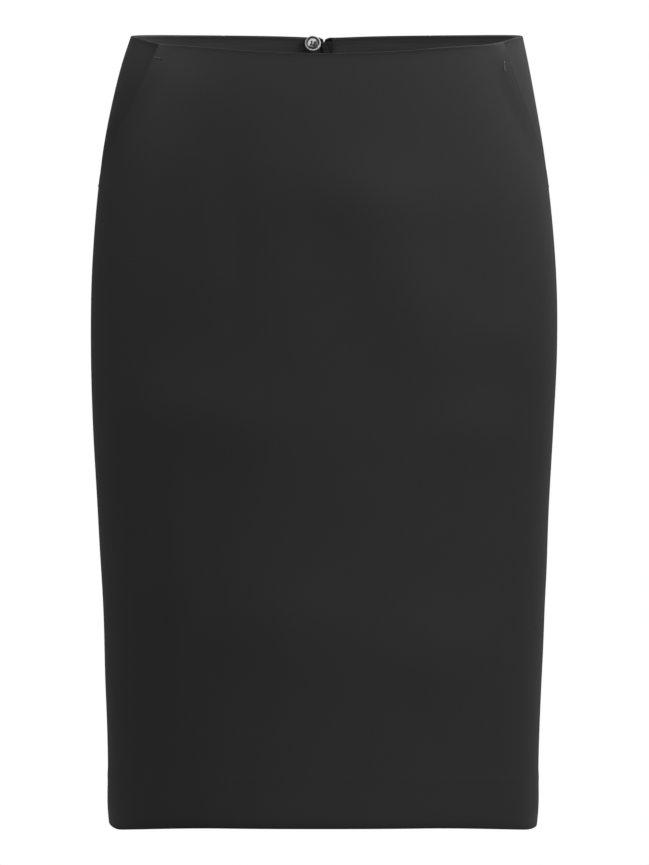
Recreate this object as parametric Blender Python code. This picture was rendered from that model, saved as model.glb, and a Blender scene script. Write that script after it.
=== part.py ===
"""A pencil skirt, filled out as it is worn: a hollow tube of cloth, open at the waist and at the hem.

Metres, +Z up. The origin is in the middle of the waist opening, level with the waist edge at the sides.
The front faces -Y, the back +Y, and the wearer's left side is +X.

A place on the cloth is given by two numbers. Its place round runs from -1 at the centre back by way of -X
to 0 at the centre front, and on by way of +X to 1 at the centre back again. Its row is a depth below the
waist, from 0 at the waist edge to LENGTH at the hem, before those edges dip or rise. Every cloth piece is a
sheet of such places, moved in or out to its own layer, and then given its thickness inwards.
"""

import math
from typing import NamedTuple

import bmesh
import bpy
import numpy as np
from mathutils import Matrix, Vector

# Driving sizes.
LENGTH = 0.610
CLOTH = 0.0016
SEAM_GAP = 0.0003
LAYER_GAP = 0.0004
FRONT_SQUARENESS = 2.25
BACK_SQUARENESS = 2.15

# Waist facing and hem.
FACING_DEPTH = 0.040
FACING_CLOTH = 0.0010
FACING_TO_ZIP = 0.0045
FACING_STEP = (0.024, 0.012)
HEM_TURNING = 0.038
HEM_CLOTH = 0.0026
HEM_RISE_LEFT = 0.0028
HEM_RISE_RIGHT = 0.0050
HEM_RISE_REACH = 0.046
HEM_FRONT_RISE = 0.0046
HEM_FRONT_REACH = (0.18, 0.52)

# Slant pockets: the opening runs from the waist edge down to the side seam, and curves out to it.
SEAM_BEHIND_SIDE = 0.004
POCKET_DEPTH = 0.120
POCKET_CURVE = 2.2
POCKET_REACH_LEFT = 0.050
POCKET_REACH_RIGHT = 0.060
POCKET_UNDER = 0.035
POCKET_GAPE = 0.0012
POCKET_GAPE_REACH = 0.022
POCKET_GAPE_SKEW = 0.7
POCKET_HOLLOW = 0.0014
HIP_PIECE_RISE = 0.75
HIP_PIECE_DEPTH = 0.165

# Centre back: concealed zip above, walking vent below.
ZIP_DEPTH = 0.190
TAPE_TOP = 0.003
TAPE_WIDTH = 0.014
TAPE_CLOTH = 0.0007
TAPE_TO_CENTRE = 0.0009
VENT_DEPTH = 0.455
VENT_STEP = 0.015
VENT_OVERLAP = 0.038

# How many columns of faces each sheet has, and how far they crowd towards its ends.
FRONT_COLUMNS = 38
FACING_COLUMNS = 44
HIP_COLUMNS = 12
BACK_COLUMNS = 12
BACK_CROWDING = 0.85
END_CROWDING = 1.1

# Zip slider and its pull tab, about the seam line: across, out of the cloth, and up along it.
SLIDER_DEPTH = 0.0165
SLIDER_NOSE = (0.0032, 0.0010, 0.0070)
SLIDER_NECK = (0.0009, 0.0056)
SLIDER_BODY = (0.0060, 0.0025, 0.0090)
SLIDER_ROUNDING = 0.0006
BRIDGE_WIDTH = 0.0014
BRIDGE_HEIGHT = 0.0038
BRIDGE_BAR = 0.0008
PIVOT_OUT = 0.0023
PULL_THICKNESS = 0.0009
PULL_BAR = 0.0009
PULL_WINDOW = (0.0027, 0.0027)
PULL_LENGTH = 0.0193

# Button inside the back waist.
BUTTON_RADIUS = 0.00635
BUTTON_FROM_CENTRE = 0.0102
BUTTON_BELOW_EDGE = 0.0027
BUTTON_DROOP = math.radians(6)
BUTTON_STANDOFF = 0.0006
BUTTON_HOLE_RADIUS = 0.00075
BUTTON_HOLE_OUT = 0.00135
BUTTON_STEPS = 32
HOLE_STEPS = 12


class Section(NamedTuple):
    """The body line at one depth below the waist: how far the cloth reaches sideways, forward and back."""

    depth: float
    half_width: float
    to_front: float
    to_back: float
    sideways: float


SECTIONS = (
    Section(0.000, 0.1503, 0.0820, 0.0880, 0.0018),
    Section(0.020, 0.1557, 0.0880, 0.0945, 0.0006),
    Section(0.050, 0.1623, 0.0950, 0.1030, -0.0004),
    Section(0.080, 0.1679, 0.1000, 0.1095, -0.0008),
    Section(0.120, 0.1733, 0.1045, 0.1170, -0.0007),
    Section(0.160, 0.1769, 0.1070, 0.1222, -0.0005),
    Section(0.200, 0.1789, 0.1083, 0.1247, -0.0003),
    Section(0.240, 0.1791, 0.1088, 0.1250, -0.0004),
    Section(0.300, 0.1769, 0.1085, 0.1228, -0.0010),
    Section(0.360, 0.1735, 0.1078, 0.1190, -0.0010),
    Section(0.430, 0.1699, 0.1070, 0.1148, -0.0005),
    Section(0.500, 0.1672, 0.1064, 0.1118, -0.0007),
    Section(0.560, 0.1655, 0.1060, 0.1102, -0.0010),
    Section(0.596, 0.1654, 0.1058, 0.1095, -0.0011),
    Section(0.610, 0.1640, 0.1056, 0.1090, -0.0011),
)


class EdgeDip(NamedTuple):
    """How far the waist edge lies below the waist level, at a fraction of the way from front to back."""

    place: float
    drop: float


WAIST_EDGE = (
    EdgeDip(-0.08, 0.0114),
    EdgeDip(0.00, 0.0121),
    EdgeDip(0.08, 0.0114),
    EdgeDip(0.17, 0.0097),
    EdgeDip(0.24, 0.0077),
    EdgeDip(0.30, 0.0064),
    EdgeDip(0.34, 0.0056),
    EdgeDip(0.38, 0.0036),
    EdgeDip(0.42, 0.0013),
    EdgeDip(0.46, 0.0003),
    EdgeDip(0.51, 0.0001),
    EdgeDip(0.62, 0.0001),
    EdgeDip(0.70, 0.0005),
    EdgeDip(0.78, 0.0009),
    EdgeDip(0.90, 0.0017),
    EdgeDip(1.00, 0.0028),
    EdgeDip(1.10, 0.0017),
)


class BackGap(NamedTuple):
    """Half the gap between the two back panels at one depth: they part above the zip slider."""

    depth: float
    half_gap: float


BACK_GAPS = (
    BackGap(0.000, 0.0034),
    BackGap(0.003, 0.0017),
    BackGap(0.007, 0.0010),
    BackGap(0.014, 0.0009),
    BackGap(0.024, 0.0008),
    BackGap(0.032, 0.00025),
    BackGap(0.610, 0.00025),
)

# Plan angles from the centre front to the centre back, for measuring along the cloth.
ANGLES = np.linspace(-math.pi / 2, math.pi / 2, 361)

# How far down the rows of a sheet lie, in metres before the waist edge dips.
ROWS = np.concatenate(
    (
        (0.0, TAPE_TOP, 0.007, 0.014, 0.027, FACING_DEPTH),
        (0.060, 0.080, 0.096, 0.107, 0.115, POCKET_DEPTH),
        np.linspace(POCKET_DEPTH, HIP_PIECE_DEPTH, 3)[1:],
        np.linspace(ZIP_DEPTH, VENT_DEPTH - VENT_STEP, 8),
        np.linspace(VENT_DEPTH, LENGTH - HEM_TURNING, 4),
        np.linspace(LENGTH - HEM_TURNING + 0.001, LENGTH, 4),
    )
)


def read(table, column, places):
    """The smooth curve through a column of a table, whose first column says where each row stands."""
    places = np.asarray(places, dtype=float)
    stations = np.array([row[0] for row in table])
    values = np.array([getattr(row, column) for row in table])
    slopes = np.gradient(values, stations)
    row = np.clip(np.searchsorted(stations, places, side="right") - 1, 0, len(table) - 2)
    span = stations[row + 1] - stations[row]
    part = np.clip((places - stations[row]) / span, 0.0, 1.0)
    rise = values[row + 1] - values[row]
    bend = part * (1 - part) * span * (slopes[row] * (1 - part) - slopes[row + 1] * part)
    return values[row] + rise * part * part * (3 - 2 * part) + bend


def step(low, high, places):
    """0 up to low, 1 from high on, and a smooth rise between them."""
    part = np.clip((np.asarray(places, dtype=float) - low) / (high - low), 0.0, 1.0)
    return part * part * (3 - 2 * part)


def outline(angle, depth):
    """Plan position on the body line. The angle is -90 degrees at the centre front and 90 at the back."""
    in_front = np.sin(angle) < 0
    squareness = np.where(in_front, FRONT_SQUARENESS, BACK_SQUARENESS)
    reach = np.where(in_front, read(SECTIONS, "to_front", depth), read(SECTIONS, "to_back", depth))
    across = read(SECTIONS, "half_width", depth) * np.abs(np.cos(angle)) ** (2 / squareness)
    along = reach * np.sign(np.sin(angle)) * np.abs(np.sin(angle)) ** (2 / squareness)
    return across, along


def lengths(depth):
    """Cloth length from the centre front to each of ANGLES, at one depth."""
    across, along = outline(ANGLES, np.full(len(ANGLES), depth))
    return np.concatenate(([0.0], np.cumsum(np.hypot(np.diff(across), np.diff(along)))))


def half_girth(depth):
    """Cloth length from the centre front to the centre back, at one depth."""
    return lengths(depth)[-1]


def side_seam(depth):
    """Length from the centre front to the side seam, a little behind the widest place."""
    return lengths(depth)[len(ANGLES) // 2] + SEAM_BEHIND_SIDE


def pocket_edge(side, depth):
    """Length from the centre front to the front panel's edge: the pocket opening, then the side seam."""
    reach = POCKET_REACH_LEFT if side > 0 else POCKET_REACH_RIGHT
    return side_seam(depth) - reach * (1.0 - min(1.0, depth / POCKET_DEPTH) ** POCKET_CURVE)


def waist_edge(place):
    """Depth of the waist edge."""
    return read(WAIST_EDGE, "drop", np.abs(wrapped(place)))


def hem_edge(place):
    """Depth of the hem, which rises a little at the side seams and at the front."""
    place = wrapped(place)
    from_seam = np.abs(place) * half_girth(LENGTH) - side_seam(LENGTH)
    side_height = np.where(place > 0, HEM_RISE_LEFT, HEM_RISE_RIGHT)
    side_rise = 1.0 - step(0.0, HEM_RISE_REACH, np.abs(from_seam))
    front_rise = 1.0 - step(*HEM_FRONT_REACH, np.abs(place))
    return LENGTH - side_height * side_rise - HEM_FRONT_RISE * front_rise


def wrapped(place):
    """Brings a round place that runs past the centre back to the other side."""
    return (np.asarray(place, dtype=float) + 1.0) % 2.0 - 1.0


def on_body(places, rows):
    """Points of the body line. Places holds one line of round places for each row depth."""
    points = []
    for line, row in zip(places, rows):
        line = wrapped(line)
        measured = lengths(row)
        angle = np.interp(np.abs(line) * measured[-1], measured, ANGLES)
        down = row / LENGTH
        depth = waist_edge(line) * (1 - down) + hem_edge(line) * down
        across, along = outline(angle, depth)
        sideways = read(SECTIONS, "sideways", depth)
        points.append(np.stack((np.sign(line) * across + sideways, along, -depth), axis=-1))
    return np.array(points)


def out_of_cloth(places, rows):
    """Unit vectors out of the cloth at the same places."""
    small = 1e-4
    rows = np.asarray(rows, dtype=float)
    along = on_body(places + small, rows) - on_body(places - small, rows)
    down = on_body(places, rows + small) - on_body(places, rows - small)
    normal = np.cross(down, along)
    return normal / np.linalg.norm(normal, axis=-1, keepdims=True)


def sheet(places, rows, lift):
    """Points and outward directions of a sheet that stands out of the body line by lift."""
    normal = out_of_cloth(places, rows)
    return on_body(places, rows) + normal * np.asarray(lift)[..., None], normal


def material(name, colour, roughness, metallic=0.0):
    """A plain Principled material."""
    made = bpy.data.materials.new(name)
    made.use_nodes = True
    shader = made.node_tree.nodes["Principled BSDF"]
    shader.inputs["Base Color"].default_value = (*colour, 1.0)
    shader.inputs["Roughness"].default_value = roughness
    shader.inputs["Metallic"].default_value = metallic
    return made


def put_in_scene(bm, name, finish, smooth_below=math.radians(40)):
    """Makes a bmesh into a named object with its finish."""
    bmesh.ops.recalc_face_normals(bm, faces=bm.faces)
    mesh = bpy.data.meshes.new(name)
    bm.to_mesh(mesh)
    bm.free()
    mesh.shade_smooth()
    mesh.set_sharp_from_angle(angle=smooth_below)
    made = bpy.data.objects.new(name, mesh)
    made.data.materials.append(finish)
    bpy.context.collection.objects.link(made)
    return made


def cloth_piece(name, outer, normal, thickness, finish, kept=None):
    """A closed wall: a grid laid on the outer points, then pushed inwards by its thickness."""
    lines, columns = outer.shape[:2]
    inner = outer - normal * (np.zeros((lines, columns)) + thickness)[..., None]
    outer, inner = outer.reshape(-1, 3), inner.reshape(-1, 3)
    bm = bmesh.new()
    bmesh.ops.create_grid(bm, x_segments=columns - 1, y_segments=lines - 1, size=1.0)
    bm.verts.ensure_lookup_table()
    number = bm.verts.layers.int.new("number")
    for i, vert in enumerate(bm.verts):
        vert[number] = i
        vert.co = outer[i]
    if kept is not None:
        away = [face for face in bm.faces if not kept(*cell(face, number, columns))]
        bmesh.ops.delete(bm, geom=away, context="FACES")
    pushed = bmesh.ops.extrude_face_region(bm, geom=bm.faces[:], use_keep_orig=True)
    for vert in pushed["geom"]:
        if isinstance(vert, bmesh.types.BMVert):
            vert.co = inner[vert[number]]
    return put_in_scene(bm, name, finish)


def cell(face, number, columns):
    """The row and column of the grid cell that a face fills."""
    first = min(vert[number] for vert in face.verts)
    return divmod(first, columns)


def crowded(low, high, count):
    """Count steps from low to high, drawn closer together towards both ends."""
    t = np.sin(np.linspace(-END_CROWDING, END_CROWDING, count + 1)) / math.sin(END_CROWDING)
    return low + (high - low) * (t + 1) / 2


def gape(side, length, depth):
    """How far a pocket's mouth stands open at a place given by its length from the centre front."""
    along = math.sin(math.pi * min(1.0, depth / POCKET_DEPTH) ** POCKET_GAPE_SKEW)
    from_edge = np.abs(length - pocket_edge(side, depth))
    return along * (1.0 - step(0.0, POCKET_GAPE_REACH, from_edge))


def front_panel(finish):
    """The whole front, from pocket edge to pocket edge and, below the pockets, from seam to seam."""
    places, lift = [], []
    for row in ROWS:
        low = -(pocket_edge(-1, row) - SEAM_GAP / 2)
        high = pocket_edge(1, row) - SEAM_GAP / 2
        line = crowded(low, high, FRONT_COLUMNS)
        places.append(line / half_girth(row))
        open_left, open_right = gape(1, line, row), gape(-1, -line, row)
        lift.append(POCKET_GAPE * (open_left + open_right))
    outer, normal = sheet(np.array(places), ROWS, lift)
    return cloth_piece("front_panel", outer, normal, hem_wall()[:, None], finish)


def hem_wall():
    """The wall at each row: single cloth, and double where the hem is turned up inside."""
    return np.where(ROWS > LENGTH - HEM_TURNING, HEM_CLOTH, CLOTH)


def under_front(side, length, depth):
    """Depth of the hip piece below the body line: under the front panel, and level at the side seam.

    It stays under until the front panel's edge has passed in the next row, so the two never cross.
    """
    edge = pocket_edge(side, ROWS[np.searchsorted(ROWS, depth + 1e-6)])
    rising = max(0.001, HIP_PIECE_RISE * (side_seam(depth) - edge))
    under = 1.0 - step(0.0, rising, length - edge)
    return (CLOTH + LAYER_GAP) * under + POCKET_HOLLOW * gape(side, length, depth)


def hip_piece(name, side, finish):
    """The piece behind a pocket opening, from under the front panel to the side seam."""
    rows = ROWS[ROWS <= HIP_PIECE_DEPTH + 1e-6]
    places, lift = [], []
    for row in rows:
        hidden, seam = pocket_edge(side, row) - POCKET_UNDER, side_seam(row) - SEAM_GAP / 2
        line = np.linspace(hidden, seam, HIP_COLUMNS + 1)
        places.append(side * line / half_girth(row))
        lift.append(-under_front(side, line, row))
    outer, normal = sheet(np.array(places), rows, lift)
    return cloth_piece(name, outer, normal, CLOTH, finish)


def back_columns(row):
    """Lengths from the centre back to the columns of a back panel, out to its side seam."""
    side = half_girth(row) - side_seam(row) - SEAM_GAP / 2
    half_gap = np.interp(row, [gap.depth for gap in BACK_GAPS], [gap.half_gap for gap in BACK_GAPS])
    near = [half_gap, FACING_TO_ZIP, TAPE_WIDTH, VENT_OVERLAP]
    spread = np.linspace(0.0, 1.0, BACK_COLUMNS + 1) ** BACK_CROWDING
    return np.concatenate((near, VENT_OVERLAP + (side - VENT_OVERLAP) * spread[1:]))


def back_panel_left(finish):
    """The half of the back on the wearer's left, which laps over the vent."""
    places = [1.0 - back_columns(row)[::-1] / half_girth(row) for row in ROWS]
    outer, normal = sheet(np.array(places), ROWS, np.zeros((len(ROWS), len(places[0]))))
    return cloth_piece("back_panel_left", outer, normal, hem_wall()[:, None], finish)


def back_panel_right(finish):
    """The half of the back on the wearer's right, with the vent's underlap cut in one with it."""
    underlap = -np.array((VENT_OVERLAP, TAPE_WIDTH, FACING_TO_ZIP))
    places, lift = [], []
    for row, wall in zip(ROWS, hem_wall()):
        from_centre = np.concatenate((underlap, back_columns(row)))
        places.append(-1.0 + from_centre / half_girth(row))
        into_vent = float(step(VENT_DEPTH - VENT_STEP, VENT_DEPTH, row))
        tucked = wall + LAYER_GAP
        lift.append(-tucked * into_vent * (from_centre < FACING_TO_ZIP - 1e-6))
    outer, normal = sheet(np.array(places), ROWS, lift)
    first_row = int(np.argmax(ROWS > VENT_DEPTH - 1e-6))
    return cloth_piece(
        "back_panel_right",
        outer,
        normal,
        hem_wall()[:, None],
        finish,
        kept=lambda row, column: column >= len(underlap) or row >= first_row,
    )


def front_facing(finish):
    """The inside band of the front waist, behind the front panel and both hip pieces."""
    rows = ROWS[ROWS <= FACING_DEPTH + 1e-6]
    places, lift = [], []
    for row in rows:
        side = side_seam(row) - SEAM_GAP / 2
        line = crowded(-side, side, FACING_COLUMNS)
        places.append(line / half_girth(row))
        behind = CLOTH + LAYER_GAP
        for hand in (-1, 1):
            length = hand * line
            starts = pocket_edge(hand, row) - POCKET_UNDER
            covered = step(starts - FACING_STEP[0], starts - FACING_STEP[1], length)
            behind = behind + covered * under_front(hand, length, row)
        lift.append(-behind)
    outer, normal = sheet(np.array(places), rows, lift)
    return cloth_piece("front_facing", outer, normal, FACING_CLOTH, finish)


def back_facing(name, side, finish):
    """The inside band of one half of the back waist, which ends beside the zip and covers its tape."""
    rows = ROWS[ROWS <= FACING_DEPTH + 1e-6]
    places, lift = [], []
    for row in rows:
        from_centre = back_columns(row)[1:]
        over_tape = 1.0 - step(TAPE_WIDTH, VENT_OVERLAP, from_centre)
        lift.append(-(CLOTH + LAYER_GAP) - over_tape * (TAPE_CLOTH + LAYER_GAP))
        places.append(side * (1.0 - from_centre / half_girth(row)))
    outer, normal = sheet(np.array(places), rows, lift)
    return cloth_piece(name, outer, normal, FACING_CLOTH, finish)


def zip_tape(name, side, finish):
    """One tape of the zip, inside the back panel and along its centre back edge."""
    rows = ROWS[(ROWS > TAPE_TOP - 1e-6) & (ROWS < ZIP_DEPTH + 1e-6)]
    from_centre = np.array((TAPE_TO_CENTRE, FACING_TO_ZIP, TAPE_WIDTH - 0.0005))
    places = [side * (1.0 - from_centre / half_girth(row)) for row in rows]
    lift = np.full((len(rows), len(from_centre)), -(CLOTH + LAYER_GAP))
    outer, normal = sheet(np.array(places), rows, lift)
    return cloth_piece(name, outer, normal, TAPE_CLOTH, finish)


def seam_frame(depth):
    """Axes on the centre back seam: X across, Y out of the cloth, Z up along it."""
    place, row = np.array([[1.0]]), np.array([depth])
    origin = Vector(on_body(place, row)[0, 0])
    out = Vector(out_of_cloth(place, row)[0, 0])
    across = Vector((1.0, 0.0, 0.0))
    up = across.cross(out).normalized()
    frame = Matrix((across, up.cross(across), up)).transposed().to_4x4()
    frame.translation = origin
    return frame


def block(name, low, high, finish, helper=False):
    """A box between two corners, or a hidden helper of that form."""
    bm = bmesh.new()
    size = Vector(high) - Vector(low)
    middle = (Vector(high) + Vector(low)) / 2
    place = Matrix.Translation(middle) @ Matrix.Diagonal((*size, 1.0))
    bmesh.ops.create_cube(bm, size=1.0, matrix=place)
    made = put_in_scene(bm, name, finish)
    if helper:
        hide(made)
    return made


def hide(helper):
    """Keeps a helper out of the part."""
    helper.hide_render = True
    helper.display_type = "WIRE"


def combine(base, operation, helpers):
    """Joins or cuts each helper with the base."""
    for helper in helpers:
        modifier = base.modifiers.new(operation.lower() + " " + helper.name, "BOOLEAN")
        modifier.operation = operation
        modifier.solver = "EXACT"
        modifier.object = helper


def zip_slider(finish):
    """The closed slider: its body inside, its neck through the seam, and its nose and bridge outside."""
    frame = seam_frame(SLIDER_DEPTH)
    nose_low = SEAM_GAP
    nose_top = nose_low + SLIDER_NOSE[1]
    inside = -(CLOTH + LAYER_GAP + TAPE_CLOTH + SEAM_GAP)
    wide, thick, tall = (size / 2 for size in SLIDER_BODY)
    slider = block(
        "zip_slider", (-wide, inside - 2 * thick, -tall), (wide, inside, tall), finish
    )
    bevel = slider.modifiers.new("rounded edges", "BEVEL")
    bevel.width = SLIDER_ROUNDING
    bevel.segments = 2
    half = SLIDER_NOSE[0] / 2
    nose = block(
        "slider_nose",
        (-half, nose_low, -SLIDER_NOSE[2] / 2),
        (half, nose_top, SLIDER_NOSE[2] / 2),
        finish,
        helper=True,
    )
    half, tall = SLIDER_NECK[0] / 2, SLIDER_NECK[1] / 2
    neck = block(
        "slider_neck", (-half, inside - thick, -tall), (half, nose_low + 0.0004, tall), finish, True
    )
    half, tall = BRIDGE_WIDTH / 2, BRIDGE_HEIGHT / 2
    bridge_top = 2 * PIVOT_OUT - nose_top + BRIDGE_BAR
    bridge = block(
        "slider_bridge", (-half, nose_top - 0.0003, -tall), (half, bridge_top, tall), finish, True
    )
    under = block(
        "slider_eye",
        (-BRIDGE_WIDTH, nose_top, -tall + BRIDGE_BAR),
        (BRIDGE_WIDTH, bridge_top - BRIDGE_BAR, tall - BRIDGE_BAR),
        finish,
        True,
    )
    combine(slider, "UNION", (nose, neck, bridge))
    combine(slider, "DIFFERENCE", (under,))
    for made in (slider, nose, neck, bridge, under):
        made.matrix_world = frame
    return slider


class PullEdge(NamedTuple):
    """A point of the pull tab's edge: half its width there, and how far it lies below the hinge axis."""

    half_width: float
    below: float


PULL_OUTLINE = (
    PullEdge(0.0024, -PULL_BAR / 2),
    PullEdge(0.0024, 0.0036),
    PullEdge(0.0015, 0.0058),
    PullEdge(0.0016, 0.0080),
    PullEdge(0.0023, 0.0125),
    PullEdge(0.0026, 0.0155),
    PullEdge(0.0022, 0.0180),
    PullEdge(0.0011, PULL_LENGTH),
)


def zip_pull(finish):
    """The pull tab, hung by its top bar in the slider's bridge and lying along the back."""
    frame = seam_frame(SLIDER_DEPTH)
    frame.translation += frame.to_3x3() @ Vector((0.0, PIVOT_OUT, 0.0))
    loop = [(edge.half_width, -edge.below) for edge in PULL_OUTLINE]
    loop += [(-x, z) for x, z in reversed(loop)]
    bm = bmesh.new()
    face = bm.faces.new([bm.verts.new((x, -PULL_THICKNESS / 2, z)) for x, z in loop])
    pushed = bmesh.ops.extrude_face_region(bm, geom=[face], use_keep_orig=True)
    moved = [vert for vert in pushed["geom"] if isinstance(vert, bmesh.types.BMVert)]
    bmesh.ops.translate(bm, verts=moved, vec=(0.0, PULL_THICKNESS, 0.0))
    pull = put_in_scene(bm, "zip_pull", finish)
    half = PULL_WINDOW[0] / 2
    window = block(
        "pull_window",
        (-half, -PULL_THICKNESS, -PULL_BAR / 2 - PULL_WINDOW[1]),
        (half, PULL_THICKNESS, -PULL_BAR / 2),
        finish,
        helper=True,
    )
    combine(pull, "DIFFERENCE", (window,))
    for made in (pull, window):
        made.matrix_world = frame
    return pull


class Turning(NamedTuple):
    """A point of the button's turned profile: distance from its axis, and height above its back."""

    radius: float
    height: float


BUTTON_PROFILE = (
    Turning(0.0, 0.0),
    Turning(0.0052, 0.0),
    Turning(0.0061, 0.0007),
    Turning(BUTTON_RADIUS, 0.0015),
    Turning(0.0061, 0.0023),
    Turning(0.0054, 0.0026),
    Turning(0.0047, 0.0023),
    Turning(0.0041, 0.0013),
    Turning(0.0036, 0.0014),
    Turning(0.0030, 0.0018),
    Turning(0.0, 0.0017),
)


def waist_button(finish):
    """The four-hole button, on the inside of the back waist beside the zip."""
    row = np.array([BUTTON_BELOW_EDGE])
    place = np.array([[-1.0 + BUTTON_FROM_CENTRE / half_girth(BUTTON_BELOW_EDGE)]])
    out = Vector(out_of_cloth(place, row)[0, 0])
    into = CLOTH + 2 * LAYER_GAP + TAPE_CLOTH + FACING_CLOTH + BUTTON_STANDOFF
    origin = Vector(on_body(place, row)[0, 0]) - out * into
    bm = bmesh.new()
    verts = [bm.verts.new((point.radius, 0.0, point.height)) for point in BUTTON_PROFILE]
    edges = [bm.edges.new(pair) for pair in zip(verts, verts[1:])]
    bmesh.ops.spin(
        bm, geom=verts + edges, axis=(0, 0, 1), cent=(0, 0, 0), steps=BUTTON_STEPS, angle=2 * math.pi
    )
    bmesh.ops.remove_doubles(bm, verts=bm.verts, dist=1e-6)
    button = put_in_scene(bm, "waist_button", finish)
    holes = []
    for across, up in ((1, 1), (1, -1), (-1, 1), (-1, -1)):
        bm = bmesh.new()
        middle = Vector((across * BUTTON_HOLE_OUT, up * BUTTON_HOLE_OUT, 0.0))
        bmesh.ops.create_cone(
            bm,
            cap_ends=True,
            segments=HOLE_STEPS,
            radius1=BUTTON_HOLE_RADIUS,
            radius2=BUTTON_HOLE_RADIUS,
            depth=4 * BUTTON_RADIUS,
            matrix=Matrix.Translation(middle),
        )
        hole = put_in_scene(bm, f"button_hole_{len(holes) + 1}", finish)
        hide(hole)
        holes.append(hole)
    combine(button, "DIFFERENCE", holes)
    facing_in = (-out).to_track_quat("Z", "Y").to_matrix().to_4x4()
    droop = Matrix.Rotation(BUTTON_DROOP, 4, "X")
    for made in (button, *holes):
        made.matrix_world = Matrix.Translation(origin) @ droop @ facing_in
    return button


def clear_scene():
    """Removes whatever the scene holds."""
    for old in list(bpy.data.objects):
        bpy.data.objects.remove(old, do_unlink=True)


def main():
    """Builds every piece, with its finish."""
    clear_scene()
    front_panel(material("front cloth", (0.024, 0.024, 0.026), 0.75))
    hip_piece("hip_piece_left", 1, material("left hip cloth", (0.026, 0.026, 0.028), 0.75))
    hip_piece("hip_piece_right", -1, material("right hip cloth", (0.026, 0.026, 0.028), 0.75))
    back_panel_left(material("left back cloth", (0.025, 0.025, 0.027), 0.75))
    back_panel_right(material("right back cloth", (0.025, 0.025, 0.027), 0.75))
    front_facing(material("front facing", (0.020, 0.020, 0.021), 0.65))
    back_facing("back_facing_left", 1, material("left back facing", (0.020, 0.020, 0.021), 0.65))
    back_facing("back_facing_right", -1, material("right back facing", (0.020, 0.020, 0.021), 0.65))
    zip_tape("zip_tape_left", 1, material("left zip tape", (0.016, 0.016, 0.016), 0.8))
    zip_tape("zip_tape_right", -1, material("right zip tape", (0.016, 0.016, 0.016), 0.8))
    zip_slider(material("zip slider", (0.03, 0.03, 0.03), 0.35, metallic=0.6))
    zip_pull(material("zip pull", (0.03, 0.03, 0.03), 0.35, metallic=0.6))
    waist_button(material("button", (0.08, 0.08, 0.085), 0.2))


main()
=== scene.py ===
"""The look of a near-black pencil skirt: its cloth, folds, seams, zip and button, in a plain pale studio.

The file is laid out as an add-on. Each operator makes one piece or one group of like pieces, and main()
calls them in order. Metres, +Z up; the front faces -Y and the wearer's left side is +X.

A place on the cloth is given by two numbers. Its place round runs from -1 at the centre back by way of -X
to 0 at the centre front, and on by way of +X to 1 at the centre back again. Its row is a depth below the
waist, from 0 at the waist edge to LENGTH at the hem, before those edges dip or rise.
"""

import math
from contextlib import contextmanager
from typing import NamedTuple

import bpy
import numpy as np
from bpy.props import FloatProperty, FloatVectorProperty, PointerProperty
from mathutils import Matrix, Vector


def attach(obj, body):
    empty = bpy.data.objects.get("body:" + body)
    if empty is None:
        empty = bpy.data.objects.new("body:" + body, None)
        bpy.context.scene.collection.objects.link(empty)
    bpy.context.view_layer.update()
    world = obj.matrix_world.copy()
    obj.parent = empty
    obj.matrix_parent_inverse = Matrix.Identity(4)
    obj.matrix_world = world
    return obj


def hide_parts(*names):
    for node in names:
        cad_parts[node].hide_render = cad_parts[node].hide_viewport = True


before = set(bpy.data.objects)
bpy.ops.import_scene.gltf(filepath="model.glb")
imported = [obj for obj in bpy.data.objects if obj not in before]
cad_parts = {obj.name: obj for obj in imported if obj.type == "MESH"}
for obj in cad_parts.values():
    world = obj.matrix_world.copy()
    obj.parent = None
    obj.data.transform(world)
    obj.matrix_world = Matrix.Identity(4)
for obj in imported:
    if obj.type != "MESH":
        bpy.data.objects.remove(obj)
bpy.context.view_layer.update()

bl_info = {
    "name": "Pencil Skirt",
    "version": (1, 0, 0),
    "blender": (4, 5, 0),
    "location": "3D View > Sidebar > Skirt",
    "description": "Dresses a pencil skirt: creased cloth, pocket folds, zip, button and a pale studio",
    "category": "Add Mesh",
}

GARMENT = "garment"
PULL_BODY = "pull_tab"

# The worn form, as the solids have it.
LENGTH = 0.610
FRONT_SQUARENESS = 2.25
BACK_SQUARENESS = 2.15
SEAM_GAP = 0.0001
SEAM_BEHIND_SIDE = 0.004
HEM_TURNING = 0.038
HEM_FOLD = LENGTH - HEM_TURNING
HEM_RISE_LEFT = 0.0028
HEM_RISE_RIGHT = 0.0050
HEM_RISE_REACH = 0.046
HEM_FRONT_RISE = 0.0046
HEM_FRONT_REACH = (0.18, 0.52)
POCKET_DEPTH = 0.120
POCKET_CURVE = 2.2
POCKET_REACH_LEFT = 0.050
POCKET_REACH_RIGHT = 0.060
POCKET_UNDER = 0.035
POCKET_GAPE = 0.0017
POCKET_GAPE_REACH = 0.022
POCKET_GAPE_SKEW = 0.55
POCKET_HOLLOW_LEFT = 0.0004
POCKET_HOLLOW_RIGHT = 0.0024
HIP_PIECE_DEPTH = 0.165
HIP_PIECE_RISE = 0.75
HIP_PIECE_LEAST_RISE = 0.001
UNDER_FRONT = 0.0020
LAYER_GAP = 0.0001
FACING_TOP = 0.0004
FACING_DEPTH = 0.040
FACING_TO_ZIP = 0.0045
FACING_STEP = (0.024, 0.012)
FACING_TO_HIP_PIECE = 0.85
ZIP_DEPTH = 0.190
TAPE_TOP = 0.003
TAPE_WIDTH = 0.014
TAPE_LIFT = -0.0020
TAPE_TO_CENTRE = 0.0009
VENT_DEPTH = 0.455
VENT_OVERLAP = 0.038
SLIDER_DEPTH = 0.0165
PIVOT_OUT = 0.0023

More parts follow.
